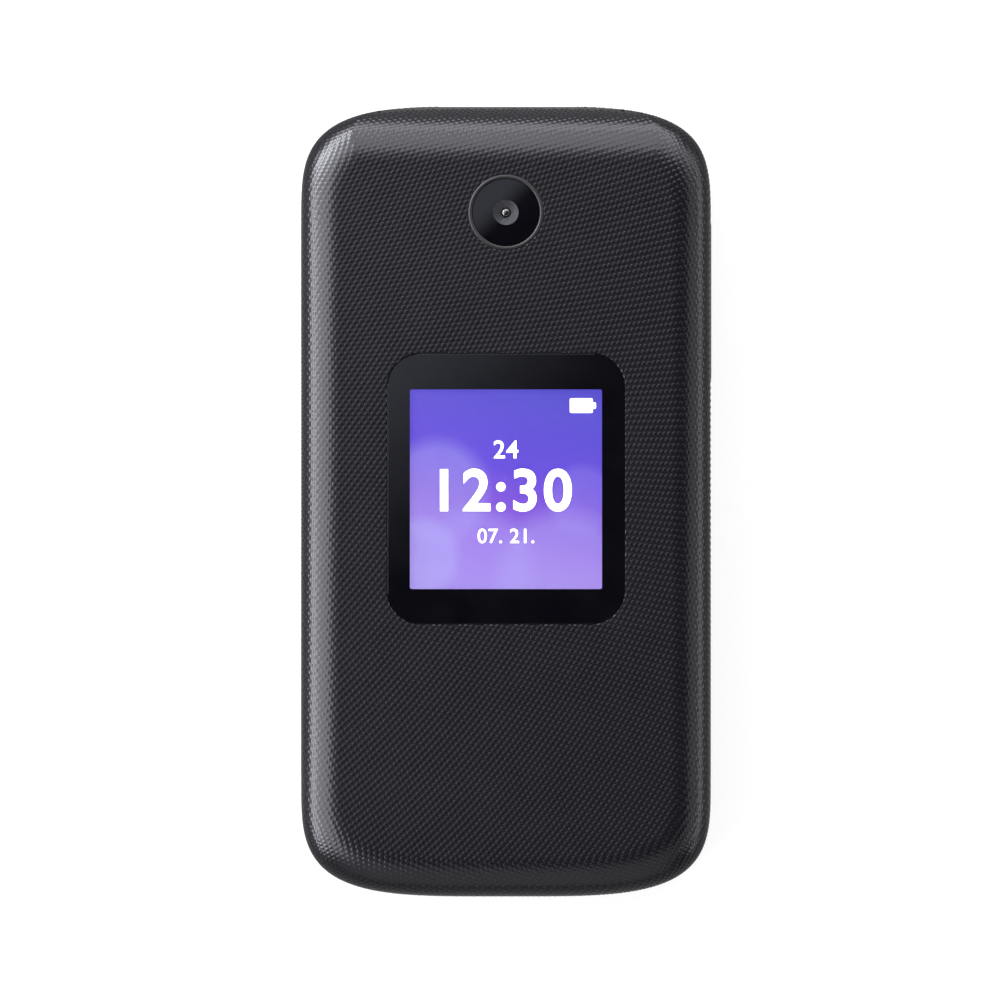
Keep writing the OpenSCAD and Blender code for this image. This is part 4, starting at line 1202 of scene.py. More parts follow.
@dataclass
class Lid:
    """The lid's outer cover with its window, small display and camera."""

    shell: LidShell = field(default_factory=LidShell)
    knurl: Knurl = field(default_factory=Knurl)
    window: tuple[float, float, float] = (31.5, 35.9, 4.5)
    window_y: float = 1.63
    window_low: float = 17.7
    panel: Point2 = (25.5, 26.5)
    panel_y: float = 1.56
    camera_y: float = 38.3
    face: float = 18.8
    crown_r: float = 1080.0
    dome_r: float = 101.0
    iris_r: float = 1.68
    ring_r: float = 5.0
    glass_r: float = 4.5
    arm_x: float = 16.0
    arm_w: float = 5.0
    post_x: float = 22.2
    post_y: Point2 = (-44.5, 33.0)

    def build(self) -> None:
        """Builds and dresses every piece of the lid's face."""
        self.cover()
        self.texture()
        self.glass()
        self.display()
        self.camera()

    def cover(self) -> None:
        """Builds the outer cover."""
        width, length, radius = self.window
        mid = (0.0, self.window_y)
        cover = self.shell.outer().cut(self.shell.cavity())
        cover.add(Solid.pad(width + 3, length + 3, radius, self.window_low - 0.7, self.shell.top - 0.7, mid))
        for sx in (-1, 1):
            for y in self.post_y:
                cover.add(Solid.rod(1.8, 12.2, self.shell.top - 0.8, (sx * self.post_x, y), 32))
        gaps = ((self.window_low, 0.1), (self.shell.top - 0.12, 0.1), (self.shell.top, 0.18),
                (self.shell.top + 1, 1.2))
        mouth = Solid.loft([[(x, y, z) for x, y in frame_points(
            width + gap, length + gap, radius + gap / 2, 10, mid)] for z, gap in gaps])
        cover.cut(mouth, Solid.pad(width - 2.4, length - 2.4, radius - 1.2, 12, 30, mid))
        cover.cut(Solid.rod(self.ring_r + 0.02, 12, 30, (0, self.camera_y), 96))
        for sx in (-1, 1):
            slot = (sx * self.arm_x - self.arm_w / 2, sx * self.arm_x + self.arm_w / 2)
            cover.cut(Solid.block(slot, (self.shell.axis_y, 60), (-1, self.shell.axis_z + 0.8)))
        # The shell takes the knurl's ground finish, painted darker as shade between the bumps.
        cover.piece("lid_cover_shell", Finish.KNURLED, "lid", "textured_plastic", ["lid_cover"])

    def texture(self) -> None:
        """Sets the knurl's bumps on the outer cover."""
        spots = LidSkin(self.shell).spots()
        at = spots.at
        x, z = np.abs(at[:, 0]), at[:, 2]
        width, length, radius = self.window
        half = np.array([width / 2 - radius, length / 2 - radius])
        cut, reach = 0.09, -0.16

        def past_window(points: np.ndarray) -> tuple[np.ndarray, np.ndarray]:
            """Returns how far points lie outside the window, and the way out."""
            q = np.abs(points - [0.0, self.window_y]) - half
            corner = np.maximum(q, 0.0)
            way = np.where(corner.min(axis=1, keepdims=True) > 0, corner, np.eye(2)[np.argmax(q, axis=1)])
            way /= np.linalg.norm(way, axis=1, keepdims=True)
            sign = np.where(points >= [0.0, self.window_y], 1.0, -1.0)
            return np.hypot(*corner.T) + np.minimum(q.max(axis=1), 0.0) - radius, way * sign

        def past_camera(points: np.ndarray) -> tuple[np.ndarray, np.ndarray]:
            """Returns how far points lie outside the camera's rim, and the way out."""
            q = points - [0.0, self.camera_y]
            far = np.linalg.norm(q, axis=1, keepdims=True)
            return far[:, 0] - self.ring_r, q / np.maximum(far, 1e-9)

        keep = (past_window(at[:, :2])[0] > reach) & (past_camera(at[:, :2])[0] > reach)
        slot = (np.abs(x - self.arm_x) < self.arm_w / 2 + 0.35) & (at[:, 1] > self.shell.axis_y)
        slot &= z < self.shell.axis_z + 1.1
        mesh = self.knurl.mesh(spots.where(keep & ~slot), Finish.CREST)
        co = np.empty(len(mesh.vertices) * 3, dtype=np.float32)
        mesh.vertices.foreach_get("co", co)
        co = co.reshape(-1, 3)
        for past in (past_window, past_camera):
            away, way = past(co[:, :2] / MM)
            co[:, :2] += way * np.clip(cut - away, 0.0, None)[:, None] * MM
        mesh.vertices.foreach_set("co", co.ravel())
        place("lid_knurl", mesh, "lid", "textured_plastic")

    def glass(self) -> None:
        """Builds the window: black at its border, clear over the lit panel."""
        width, length, radius = self.window
        pane = crowned_pane(frame_points(width, length, radius, 12, (0.0, self.window_y)),
                            frame_points(*self.panel, 0.25, 3, (0.0, self.panel_y)),
                            self.window_low, self.face, (0.0, self.window_y), self.crown_r)
        half_x, half_y = self.panel[0] / 2, self.panel[1] / 2
        pane.piece("outer_window_pane", Finish.GLOSS, "lid", "window_glass", ["outer_window"], 50,
                   Finish.GLASS,
                   lambda c: abs(c.x) < half_x and abs(c.y - self.panel_y) < half_y,
                   ((0.0, self.window_y), self.crown_r, self.face - 0.4))

    def display(self) -> None:
        """Builds the small display's module, its lit panel and the marks on it."""
        low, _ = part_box("outer_display")
        module = Solid.pad(29, 32.4, 0.5, low.z / MM, self.window_low - 0.7, (0, self.window_y), steps=3)
        module.piece("outer_display_module", Finish.CHASSIS, "lid", "display", ["outer_display"])
        screen = Screen("outer_screen", (0, self.panel_y), self.panel)
        face = Solid.pad(self.panel[0] + 1, self.panel[1] + 1, 0.3, self.window_low - 0.7,
                         self.window_low - 0.1, (0, self.panel_y), steps=3)
        face.piece("outer_display_panel", screen.build(), "lid", "display")
        marks = ScreenMarks("outer_display", "lid", self.window_low - 0.09, (0, self.panel_y), self.panel)
        marks.build()

    def camera(self) -> None:
        """Builds the camera's rim, glass, baffle and lens."""
        mid, top = (0.0, self.camera_y), self.face
        rim = Solid.turned([
            (3.6, 17.3), (self.ring_r, 17.3),
            *((self.glass_r + 0.25 + 0.25 * math.cos(a), top - 0.08 + 0.18 * math.sin(a))
              for a in np.linspace(0, math.pi, 11)),
            (self.glass_r, 17.7), (3.6, 17.7),
        ], mid, 128)
        rim.piece("camera_rim", Finish.RIM, "lid", "dark_metal", ["camera_ring"], 50)
        radii = (*np.linspace(self.glass_r - 0.08, self.iris_r, 9),
                 *np.linspace(self.iris_r - 0.01, 0.2, 5))
        pane = Solid.turned([
            (0, 17.74), (self.iris_r, 17.74), (self.glass_r - 0.01, 17.74), (self.glass_r - 0.01, top - 0.2),
            *((r, top - 0.02 - r * r / (2 * self.dome_r)) for r in radii), (0, top - 0.02),
        ], mid, 96)
        pane.piece("camera_pane", Finish.GLOSS, "lid", "window_glass", ["camera_glass"], 50,
                   Finish.GLASS,
                   lambda c: math.hypot(c.x, c.y - self.camera_y) < self.iris_r,
                   (mid, self.dome_r, top - 0.4))
        barrel = Solid.turned([
            (0, 15.2), (3.2, 15.2), (3.2, 17.3), (1.75, 17.3), (1.68, 17.4), (0.72, 17.15),
            (0.66, 16.9), (0, 16.9),
        ], mid, 64).add(Solid.pad(7, 7, 0.4, 14.2, 16.4, mid))
        barrel.piece("camera_barrel", Finish.BAFFLE, "lid", "black_plastic", ["camera_module"], 40)
        dome = [(0.66 * math.sin(a), 17.05 + 0.34 * math.cos(a)) for a in np.linspace(math.pi / 2, 0, 9)]
        lens = Solid.turned([(0, 16.92), (0.66, 16.92), *dome[:-1], (0, 17.39)], mid, 48)
        lens.piece("camera_bead", Finish.LENS, "lid", "window_glass", ["camera_lens"], 60)


@dataclass
class ScreenMarks:
    """Plain clock numerals, a small reading, a numeric date and a battery sign on a panel."""

    prefix: str
    body: str
    height: float
    centre: Point2
    size: Point2
    face_up: bool = True

    rows: tuple[tuple[str, str, float, Point2, float], ...] = (
        ("clock", "12:30", 5.4, (0.0, -0.12), 0.16), ("reading", "24", 2.35, (0.0, 5.3), 0.03),
        ("date", "07. 21.", 1.9, (0.0, -6.2), 0.02))
    sign: tuple[float, float, float] = (2.75, 2.15, 1.0)

    def build(self) -> None:
        """Builds the marks."""
        white = Lit("lit_white", (255, 255, 255), 1.0).build()
        side = 1.0 if self.face_up else -1.0
        lift = 0.03 * side
        x, y = self.centre
        for name, text, size, (dx, dy), bold in self.rows:
            mesh = numerals(text, size, (x + dx, y + side * dy, self.height + lift), bold, self.face_up)
            mesh.materials.append(white)
            place(f"{self.prefix}_{name}", mesh, self.body, "display")
        right, down, grow = self.sign
        bx, by = x + self.size[0] / 2 - right, y + side * (self.size[1] / 2 - down)
        low = self.height + lift - 0.006
        sign = Solid.pad(3.05 * grow, 1.95 * grow, 0.2, low, low + 0.012, (bx, by), steps=3)
        sign.add(Solid.pad(0.7 * grow, 0.85 * grow, 0.15, low, low + 0.012, (bx + 1.6 * grow, by), steps=2))
        sign.piece(f"{self.prefix}_battery", white, self.body, "display")


def numerals(text: str, size: float, at: Sequence[float], bold: float = 0.0,
             face_up: bool = True) -> bpy.types.Mesh:
    """Makes plain numerals as a thin mesh.

    Args:
        text: The numerals.
        size: Height of a numeral, in millimetres.
        at: Middle of the line, in millimetres.
        bold: Thickening of the strokes, in millimetres.
        face_up: False turns them over, to be read from below with the free end up.

    Returns:
        The mesh, in metres.
    """
    curve = bpy.data.curves.new("numerals", "FONT")
    curve.body, curve.align_x, curve.align_y = text, "CENTER", "CENTER"
    curve.size = size / 0.7 * MM
    curve.offset = bold * MM
    curve.extrude = 0.006 * MM
    curve.resolution_u = 6
    curve.space_character = 1.12 if size > 3 else 1.04
    holder = bpy.data.objects.new("numerals", curve)
    bpy.context.scene.collection.objects.link(holder)
    graph = bpy.context.evaluated_depsgraph_get()
    mesh = bpy.data.meshes.new_from_object(holder.evaluated_get(graph))
    bpy.data.objects.remove(holder)
    low = [min(v.co[k] for v in mesh.vertices) for k in range(2)]
    high = [max(v.co[k] for v in mesh.vertices) for k in range(2)]
    mesh.transform(Matrix.Translation(Vector((-(low[0] + high[0]) / 2, -(low[1] + high[1]) / 2, 0))))
    flip = Matrix.Identity(4) if face_up else Matrix.Rotation(math.pi, 4, "X")
    mesh.transform(Matrix.Translation(Vector(at) * MM) @ flip)
    mesh.materials.clear()
    return mesh


# ------------------------------------------------------------------ repeated pieces


@dataclass(frozen=True)
class Repeat:
    """One small solid set again and again by Geometry Nodes."""

    name: str
    template: Solid

    def mesh(self, places: Sequence[Sequence[float]], finish: Dress) -> bpy.types.Mesh:
        """Sets the solid on every place.

        Args:
            places: Where copies go, in millimetres.
            finish: Their finish.

        Returns:
            The copies as one mesh, in metres.
        """
        self.template.mesh.transform(Matrix.Scale(MM, 4))
        holder = bpy.data.objects.new("template", self.template.mesh)
        bpy.context.scene.collection.objects.link(holder)
        tree = Tree(self.name)
        grow = tree.size("Scale")
        what = tree.node("GeometryNodeObjectInfo", {"Object": holder, "As Instance": True})
        spread = tree.node("GeometryNodeInstanceOnPoints", {
            "Points": tree.source.outputs["Geometry"], "Instance": what.outputs["Geometry"], "Scale": grow,
        })
        tree.close(spread.outputs[0], finish, smooth=False)
        seeds = bpy.data.meshes.new("seeds")
        seeds.from_pydata([tuple(float(c) * MM for c in p) for p in places], [], [])
        made = tree.run(seeds, {"Scale": 1.0})
        bpy.data.objects.remove(holder)
        return made

    def solid(self, places: Sequence[Sequence[float]]) -> Solid:
        """Returns the copies as a solid for cutting with."""
        made = Solid([], [])
        made.mesh = self.mesh(places, Finish.MATTE)
        made.mesh.transform(Matrix.Scale(1 / MM, 4))
        return made


def screw(head_r: float, head: Point2, shank: Point2, shank_r: float = 0.78) -> Solid:
    """Returns a screw whose domed, cross-recessed head faces down.

    Args:
        head_r: Radius of the head.
        head: The head's span in height.
        shank: The shank's span in height.
        shank_r: Radius of the shank.

    Returns:
        The screw, standing on the origin's axis.
    """
    low, high = head
    ridges = [(shank_r - 0.1 * (k % 2), high + 0.15 + 0.16 * k)
              for k in range(int((shank[1] - high - 0.3) / 0.16))]
    body = Solid.turned([(0, low), (head_r - 0.35, low + 0.02), (head_r - 0.1, low + 0.12),
                         (head_r, low + 0.3), (head_r, high), (shank_r, high), *ridges, (0, shank[1])],
                        (0.0, 0.0), 32)
    cross = Solid.block((-0.15, 0.15), (-0.72, 0.72), (low - 1, low + 0.35)).add(
        Solid.block((-0.72, 0.72), (-0.15, 0.15), (low - 1, low + 0.35)))
    return body.cut(cross)


# ------------------------------------------------------------------ the base


class Hinged:
    """What the base and the lid's inner side share: an outline and the hinge's axis."""

    outline: Outline
    axis: Point2

    def drum(self, radius: float, x0: float, x1: float) -> Solid:
        """Returns a cylinder on the hinge's axis."""
        return Solid.rod(radius, x0, x1, count=96).laid("x", (0.0, *self.axis))

    def plan(self, inset: float, low: float, high: float) -> Solid:
        """Returns the outline raised between two heights."""
        return Solid.raised(self.outline.points(inset), low, high)

    def levels(self, rows: Sequence[Point2]) -> Solid:
        """Lofts the outline through rows of height and inset."""
        return Solid.loft([[(x, y, z) for x, y in self.outline.points(d)] for z, d in rows])


@dataclass
class Base(Hinged):
    """The rear and front housings with their openings, screws, sockets and volume key."""

    outline: Outline = field(default_factory=lambda: Outline(27.05, 52.4, 15.92))
    seam: float = 7.2
    top: float = 10.3
    skin: float = 1.4
    plate: float = 9.45
    axis: Point2 = (45.2, 11.4)
    cradle_r: float = 7.65
    lip: float = 5.5
    cavity_end: float = 36.65
    bay: tuple[float, float, float, float] = (21.7, 25.2, -2.0, 6.3)
    bosses: tuple[Point2, ...] = ((-20.5, -45.0), (20.5, -45.0), (-8.8, 34.2), (19.2, 34.4))
    rocker: tuple[float, float, float, float] = (26.65, 21.4, 5.0, 3.0)
    pin_x: float = 24.7
    jack: Point2 = (30.0, 4.2)
    port: tuple[float, float, float] = (8.9, 3.2, 4.9)

    def build(self) -> None:
        """Builds every piece of the base's outside."""
        self.rear()
        self.front()
        self.screws()
        self.rocker_key()
        self.sockets()

    def hollow(self, low: float, high: float) -> Solid:
        """Returns the space inside the walls, up to the cradle."""
        return self.plan(self.skin, low, high).keep(Solid.block((-60, 60), (-70, self.cavity_end), (-5, 60)))

    def cradle(self, body: Solid) -> Solid:
        """Cuts the trough that the lid's barrel turns in."""
        return body.cut(self.drum(self.cradle_r, -60, 60),
                        Solid.block((-60, 60), (self.axis[0], 70), (self.lip, 60)))

    def rear(self) -> None:
        """Builds the rear housing."""
        down = [(2.8 - 2.8 * math.sin(a), 2.6 * (1 - math.cos(a))) for a in np.linspace(math.pi / 2, 0, 9)]
        body = self.levels([*down, (self.seam - 0.15, 0.0), (self.seam, 0.15)])
        body.cut(self.hollow(2.2, 60), Solid.block((-24.3, 24.3), (-46, 35.85), (1.21, 4.0)))
        body.cut(Solid.block((-18, 18), (37.65, 50.0), (1.4, 2.9)),
                 Solid.block((-18, 18), (34.65, 38.65), (1.8, 2.9)))
        self.cradle(body)
        w, l, y, z = self.bay
        ry, rl, rz, rh = self.rocker
        for box in (((-23.8, 23.8), (-36.8, 36.3), (0.8, 1.8)),
                    ((-w - 0.8, w + 0.8), (y - l - 0.8, y + l + 0.8), (0.8, z + 0.6)),
                    ((-19.2, -4.8), (-48.6, -37.4), (1.0, 2.2)),
                    ((self.pin_x - 2, self.pin_x), (ry - 0.9, ry + 0.9), (1.1, rz + 1.4))):
            body.add(Solid.block(*box))
        body.add(Solid.rods(2.0, 1.0, 7.0, self.bosses))
        body.cut(Solid.pad(46.1, 72.1, 3.0, -1, 1.0, steps=10), Solid.block((-w, w), (y - l, y + l), (-1, z)))
        body.cut(Solid.block((3.0, 16.3), (y + l + 1.4, 35.2), (-1, 2.6)))
        body.cut(Solid.group(Solid.block((i * 4 - 0.85, i * 4 + 0.85), (22.2, 24.1), (2.3, 60))
                             for i in (-1, 0, 1)))
        hole = Solid.loft([[(a, b, c) for a, b in ring_points(r, 20)] for c, r in
                           ((-1.0, 1.62), (-0.02, 0.64), (0.17, 0.45), (2.6, 0.45))])
        body.cut(Repeat("grille_holes", hole).solid(
            [(a, b, 0) for a in range(-17, -6, 2) for b in range(-47, -38, 2)]))
        body.cut(Solid.rods(1.5, -1, 2.1, self.bosses))
        body.cut(Solid.rods(0.85, -1, 60, self.bosses))
        body.cut(Solid.rod(2.9, -28.3, -24.3, count=48).laid("x", (0, *self.jack)))
        body.cut(Solid.block((-25.65, -13.05), (26.9, 33.1), (1.4, 60)))
        pw, ph, pz = self.port
        mouth = frame_points(pw + 0.9, ph + 0.9, 1.9)
        body.cut(Solid.raised(mouth, -53.65, -45.65).laid("y", (0, 0, pz)))
        for x, dy, dz in (((25.15, 60), 0.15, 0.15), ((24.35, 25.65), 0.9, 0.5)):
            body.cut(Solid.block(x, (ry - rl / 2 - dy, ry + rl / 2 + dy),
                                 (rz - rh / 2 - dz, rz + rh / 2 + dz)))
        body.cut(Solid.rod(0.55, rz - rh / 2 - 0.3, 60, (self.pin_x, ry), 32))
        body.piece("rear_housing_shell", Finish.MATTE, "base", "textured_plastic", ["rear_housing"])

    def front(self) -> None:
        """Builds the front housing: keypad face, cradle and hinge knuckles."""
        edge = [(self.top - 0.45 * (1 - math.sin(a)), 0.45 * (1 - math.cos(a)))
                for a in np.linspace(0, math.pi / 2, 6)]
        body = self.levels([(self.seam, 0.15), (self.seam + 0.15, 0.0), *edge])
        body.cut(self.hollow(6.2, self.plate))
        self.cradle(body)
        body.add(Solid.rods(1.7, 7.8, self.plate + 0.1, self.bosses))
        for side in (-1, 1):
            mid = side * 16.0
            body.add(Solid.block((mid - 2.2, mid + 2.2), (36.05, 42.6), (8.4, 10.2)))
            body.add(self.drum(4.3, *sorted((side * 12.0, side * 20.0))))
        body.cut(self.drum(2.85, 11.0, 15.1), self.drum(2.0, 15.0, 18.6))
        body.cut(Solid.block((14.9, 18.1), (34.2, self.axis[0]), (9.7, 10.1)))
        body.cut(Solid.block((14.9, 18.1), (34.2, 34.8), (0.0, 10.1)))
        body.cut(self.drum(2.72, -19.22, -11.0).keep(Solid.block((-30, 0), (43.18, 47.22), (0, 60))))
        gaps = [Solid.pad(key.size[0] + 0.3, key.size[1] + 0.3, key.radius + 0.15, 0, 60, key.at)
                for key in KEYS]
        body.cut(Solid.group(gaps), Solid.rod(11.3, 0, 60, (0.0, 22.0), 96),
                 Solid.rod(0.5, 0, 60, (14.0, -47.6), 24))
        body.cut(Solid.rods(0.8, 0, 9.7, self.bosses, 24))
        body.piece("front_housing_shell", Finish.INNER, "base", "black_plastic", ["front_housing"])

    def screws(self) -> None:
        """Sets the housing's screws."""
        made = Repeat("housing_screws", screw(1.4, (1.4, 2.1), (2.0, 9.4)))
        mesh = made.mesh([(x, y, 0) for x, y in self.bosses], Finish.STEEL)
        mesh.set_sharp_from_angle(angle=math.radians(30))
        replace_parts(place("base_screw_set", mesh, "base", "bright_metal"), "base_screws")

    def rocker_key(self) -> None:
        """Builds the volume key with its engraved plus and minus."""
        y, length, z, height = self.rocker
        key = Solid.pad(length, height, 1.3, self.pin_x + 0.4, 27.45, (y, z), 0.0, 0.4, 8).laid("x")
        key.add(Solid.rod(0.5, z - height / 2 + 0.001, z + height / 2 - 0.001, (self.pin_x, y), 32))
        key.add(Solid.block((self.pin_x, self.pin_x + 0.5), (y - 0.3, y + 0.3),
                            (z - height / 2 + 0.01, z + height / 2 - 0.01)))
        marks = [((7.6, 0.16), (z - 0.65, z + 0.65)), ((7.6, 0.65), (z - 0.16, z + 0.16)),
                 ((-7.6, 0.65), (z - 0.16, z + 0.16))]
        for (dy, half), span in marks:
            key.cut(Solid.block((27.33, 30), (y + dy - half, y + dy + half), span))
        key.cut(Solid.group(Solid.block(
            (27.36, 30), (y + k * 0.9 - 0.12, y + k * 0.9 + 0.12), (z - 0.9, z + 0.9)) for k in (-1, 0, 1)))
        key.piece("volume_key", Finish.KEY, "volume_rocker_body", "black_plastic", ["volume_rocker"])

    def sockets(self) -> None:
        """Builds the headset socket with its sleeve, and the charging socket with its tongue."""
        y, z = self.jack
        body = Solid.turned([(0, -27.05), (2.55, -27.05), (2.8, -26.8), (2.8, -24.05), (0, -24.05)],
                            (0, 0), 48)
        body.laid("x", (0, y, z)).add(Solid.block((-25.55, -13.15), (y - 3, y + 3), (1.4, 7.0)))
        body.cut(Solid.rod(1.8, -28, -13.55, count=48).laid("x", (0, y, z)))
        body.cut(Solid.rod(2.2, -28, -26.2, count=48).laid("x", (0, y, z)))
        body.piece("headset_socket", Finish.INNER, "base", "black_plastic", ["headset_jack"])
        sleeve = Solid.turned([(1.8, -26.2), (2.19, -26.2), (2.19, -26.95), (2.1, -27.03), (1.9, -27.03),
                               (1.8, -26.95)][::-1], (0, 0), 48).laid("x", (0, y, z))
        sleeve.merged().piece("headset_sleeve", Finish.STEEL, "base", "bright_metal")
        w, h, z = self.port
        tube = Solid.raised(frame_points(w + 0.5, h + 0.5, 1.7), -51.05, -44.05)
        tube.cut(Solid.raised(frame_points(w, h, 1.5), -52.05, -44.65)).laid("y", (0, 0, z))
        tube.add(Solid.block((-3, 3), (-48.05, -44.05), (z + h / 2, 7.0)))
        tube.piece("charging_socket", Finish.STEEL, "base", "bright_metal", ["charging_port"])
        tongue = Solid.pad(w - 2.5, 5.98, 0.5, z - 0.35, z + 0.35, (0, -47.25), 0.12, 0.12)
        tongue.piece("charging_tongue", Finish.INNER, "base", "black_plastic")
        pads = Solid.block((-0.16, 0.16), (-49.9, -46.4), (z - 0.362, z + 0.362))
        mesh = Repeat("tongue_contacts", pads).mesh([(k * 0.62, 0, 0) for k in range(-4, 5)], Finish.GOLD)
        place("charging_contacts", mesh, "base", "gold_contact")


@dataclass
class Back:
    """The battery's cover with its knurled grip, and the battery under it."""

    size: tuple[float, float, float] = (46.0, 72.0, 2.95)
    notch_y: float = -32.6
    ground: float = 0.12
    rim: float = 1.3
    battery: tuple[float, float, float] = (43.0, 50.0, -2.0)
    knurl: Knurl = field(default_factory=lambda: Knurl(0.375, 0.285, 0.1))

    def build(self) -> None:
        """Builds the cover, its knurl and the battery."""
        w, l, r = self.size
        cover = Solid.pad(w, l, r, 0.0, 1.0, round_low=0.3, steps=10)
        cover.cut(Solid.pad(w - 2 * self.rim, l - 2 * self.rim, r - 1, -1, self.ground, steps=10))
        cover.cut(Solid.pad(11.0, 4.4, 1.6, -1, 0.3, (0, self.notch_y)),
                  Solid.pad(9.0, 2.4, 1.1, -1, 0.4, (0, self.notch_y)))
        cover.add(Solid.group(Solid.pad(7.4, 0.3, 0.12, 0.12, 0.45, (0, self.notch_y + k * 0.7), 0.1, steps=3)
                              for k in (-1, 0, 1)))
        cover.piece("battery_door", Finish.MATTE, "battery_cover_body", "textured_plastic", ["battery_cover"])
        flat, row = Lattice().crossings(w / 2 - self.rim - 0.5, l / 2 - self.rim - 0.5)
        corner = np.maximum(np.abs(flat) - (np.array([w, l]) / 2 - self.rim - r + 0.5), 0)
        keep = np.hypot(corner[:, 0], corner[:, 1]) < r - 0.9
        keep &= (np.abs(flat[:, 0]) > 6.0) | (np.abs(flat[:, 1] - self.notch_y) > 2.7)
        count = int(keep.sum())
        spots = Spots(np.column_stack([flat[keep], np.full(count, self.ground)]),
                      np.tile([0.0, 0.0, -1.0], (count, 1)), np.column_stack([row[keep], np.zeros(count)]))
        mesh = self.knurl.mesh(spots, Finish.CREST)
        place("battery_door_knurl", mesh, "battery_cover_body", "textured_plastic")
        bw, bl, by = self.battery
        cell = Solid.pad(bw, bl, 1.0, 1.02, 6.2, (0, by), 0.5, 0.5)
        cell.piece("battery_pack", Finish.WRAP, "battery_body", "battery_wrap", ["battery"])
        label = Solid.pad(34, 30, 1.5, 1.005, 1.03, (0, by - 3), steps=6)
        label.piece("battery_label", Finish.PALE_PRINT, "battery_body", "battery_wrap")
        pad = Solid.block((-1.0, 1.0), (22.985, 23.0), (3.3, 4.4))
        mesh = Repeat("battery_pads", pad).mesh([(k * 4.0, 0, 0) for k in (-1, 0, 1)], Finish.GOLD)
        place("battery_terminals", mesh, "battery_body", "gold_contact")


@dataclass(frozen=True)
class Key:
    """One key: its CAD node, place, size and mark."""

    node: str
    at: Point2
    size: Point2
    radius: float
    mark: str
    top: float = 10.3

    def build(self) -> None:
        """Builds the cap with its flange and plunger, and the mark on it."""
        w, l = self.size
        cap = Solid.pad(w, l, self.radius, 9.35, self.top - 0.004, self.at, 0.0, 0.32, 6)
        cap.add(Solid.pad(w + 1, l + 1, self.radius, 8.95, 9.44, self.at),
                Solid.rod(1.2, 8.4, 9.05, self.at, 24))
        cap.piece(f"{self.node}_cap", Finish.KEY, f"{self.node}_body", "key_plastic", [self.node])
        self.print()

    def print(self) -> None:
        """Prints the key's mark."""
        name, body, high = f"{self.node}_mark", f"{self.node}_body", self.top
        if self.mark in Handset.TURN:
            finish = Finish.GREEN_PRINT if self.mark == "call" else Finish.RED_PRINT
            Handset(self.at, Handset.TURN[self.mark]).solid(high).piece(name, finish, body, "key_plastic")
            return
        finish = Finish.PALE_PRINT
        if self.mark == "bar":
            bar = Solid.pad(3.4, 0.55, 0.25, high - 0.004, high + 0.006, self.at, steps=3)
            bar.piece(name, finish, body)
        elif self.mark == "back":
            x, y = self.at
            arrow = Solid.pad(2.6, 0.45, 0.1, high - 0.004, high + 0.006, (x + 0.5, y), steps=2)
            arrow.add(wedge((x - 1.0, y), 1.1, 180.0, high - 0.003))
            arrow.piece(name, finish, body)
        else:
            size = {"*": 4.6, "#": 2.8}.get(self.mark, 3.3)
            mesh = numerals(self.mark, size, (*self.at, high + 0.001), 0.05)
            mesh.materials.append(material_of(finish))
            place(name, mesh, body)


def wedge(at: Point2, size: float, turn: float, low: float, high: float | None = None) -> Solid:
    """Returns a thin triangle that points in a direction.

    Args:
        at: Its middle.
        size: Distance from the middle to a corner.
        turn: Direction in degrees, anticlockwise from +X.
        low: Bottom height.
        high: Top height.

    Returns:
        The triangle.
    """
    points = [(at[0] + size * math.cos(a), at[1] + size * math.sin(a))
              for a in (math.radians(turn + 120 * k) for k in range(3))]
    return Solid.raised(points, low, high if high is not None else low + 0.009)


@dataclass(frozen=True)
class Handset:
    """A plain arched receiver, the general sign for calling."""

    at: Point2
    turn: float
    TURN = {"call": 45.0, "end": 0.0}

    def solid(self, high: float) -> Solid:
        """Returns the sign as a thin solid on a key."""
        arc = np.radians(np.linspace(18, 162, 25))
        outer = [(2.15 * math.cos(a), 2.15 * math.sin(a)) for a in arc]
        inner = [((1.45 if abs(a - math.pi / 2) < 0.72 else 0.95) * math.cos(a),
                  (1.45 if abs(a - math.pi / 2) < 0.72 else 0.95) * math.sin(a)) for a in arc[::-1]]
        c, s = math.cos(math.radians(self.turn)), math.sin(math.radians(self.turn))
        ring = [(self.at[0] + c * x - s * (y - 1.3), self.at[1] + s * x + c * (y - 1.3))
                for x, y in (*outer, *inner)]
        return Solid.raised(ring, high - 0.004, high + 0.006)


KEYS: tuple[Key, ...] = (
    *(Key(f"key_{name}", (16.4 * (k % 3 - 1), -3.4 - 10.4 * (k // 3)), (14.6, 8.4), 1.2, mark)
      for k, (name, mark) in enumerate([(str(n), str(n)) for n in range(1, 10)]
                                       + [("star", "*"), ("0", "0"), ("hash", "#")])),
    Key("soft_key_left", (-18.65, 28.2), (10.1, 7.2), 1.2, "bar"),
    Key("soft_key_right", (18.65, 28.2), (10.1, 7.2), 1.2, "bar"),
    Key("call_key", (-18.65, 17.4), (10.1, 8.2), 1.2, "call"),
    Key("end_key", (18.65, 17.4), (10.1, 8.2), 1.2, "end"),
    Key("clear_key", (0.0, 6.4), (12.0, 5.0), 1.0, "back"),
)


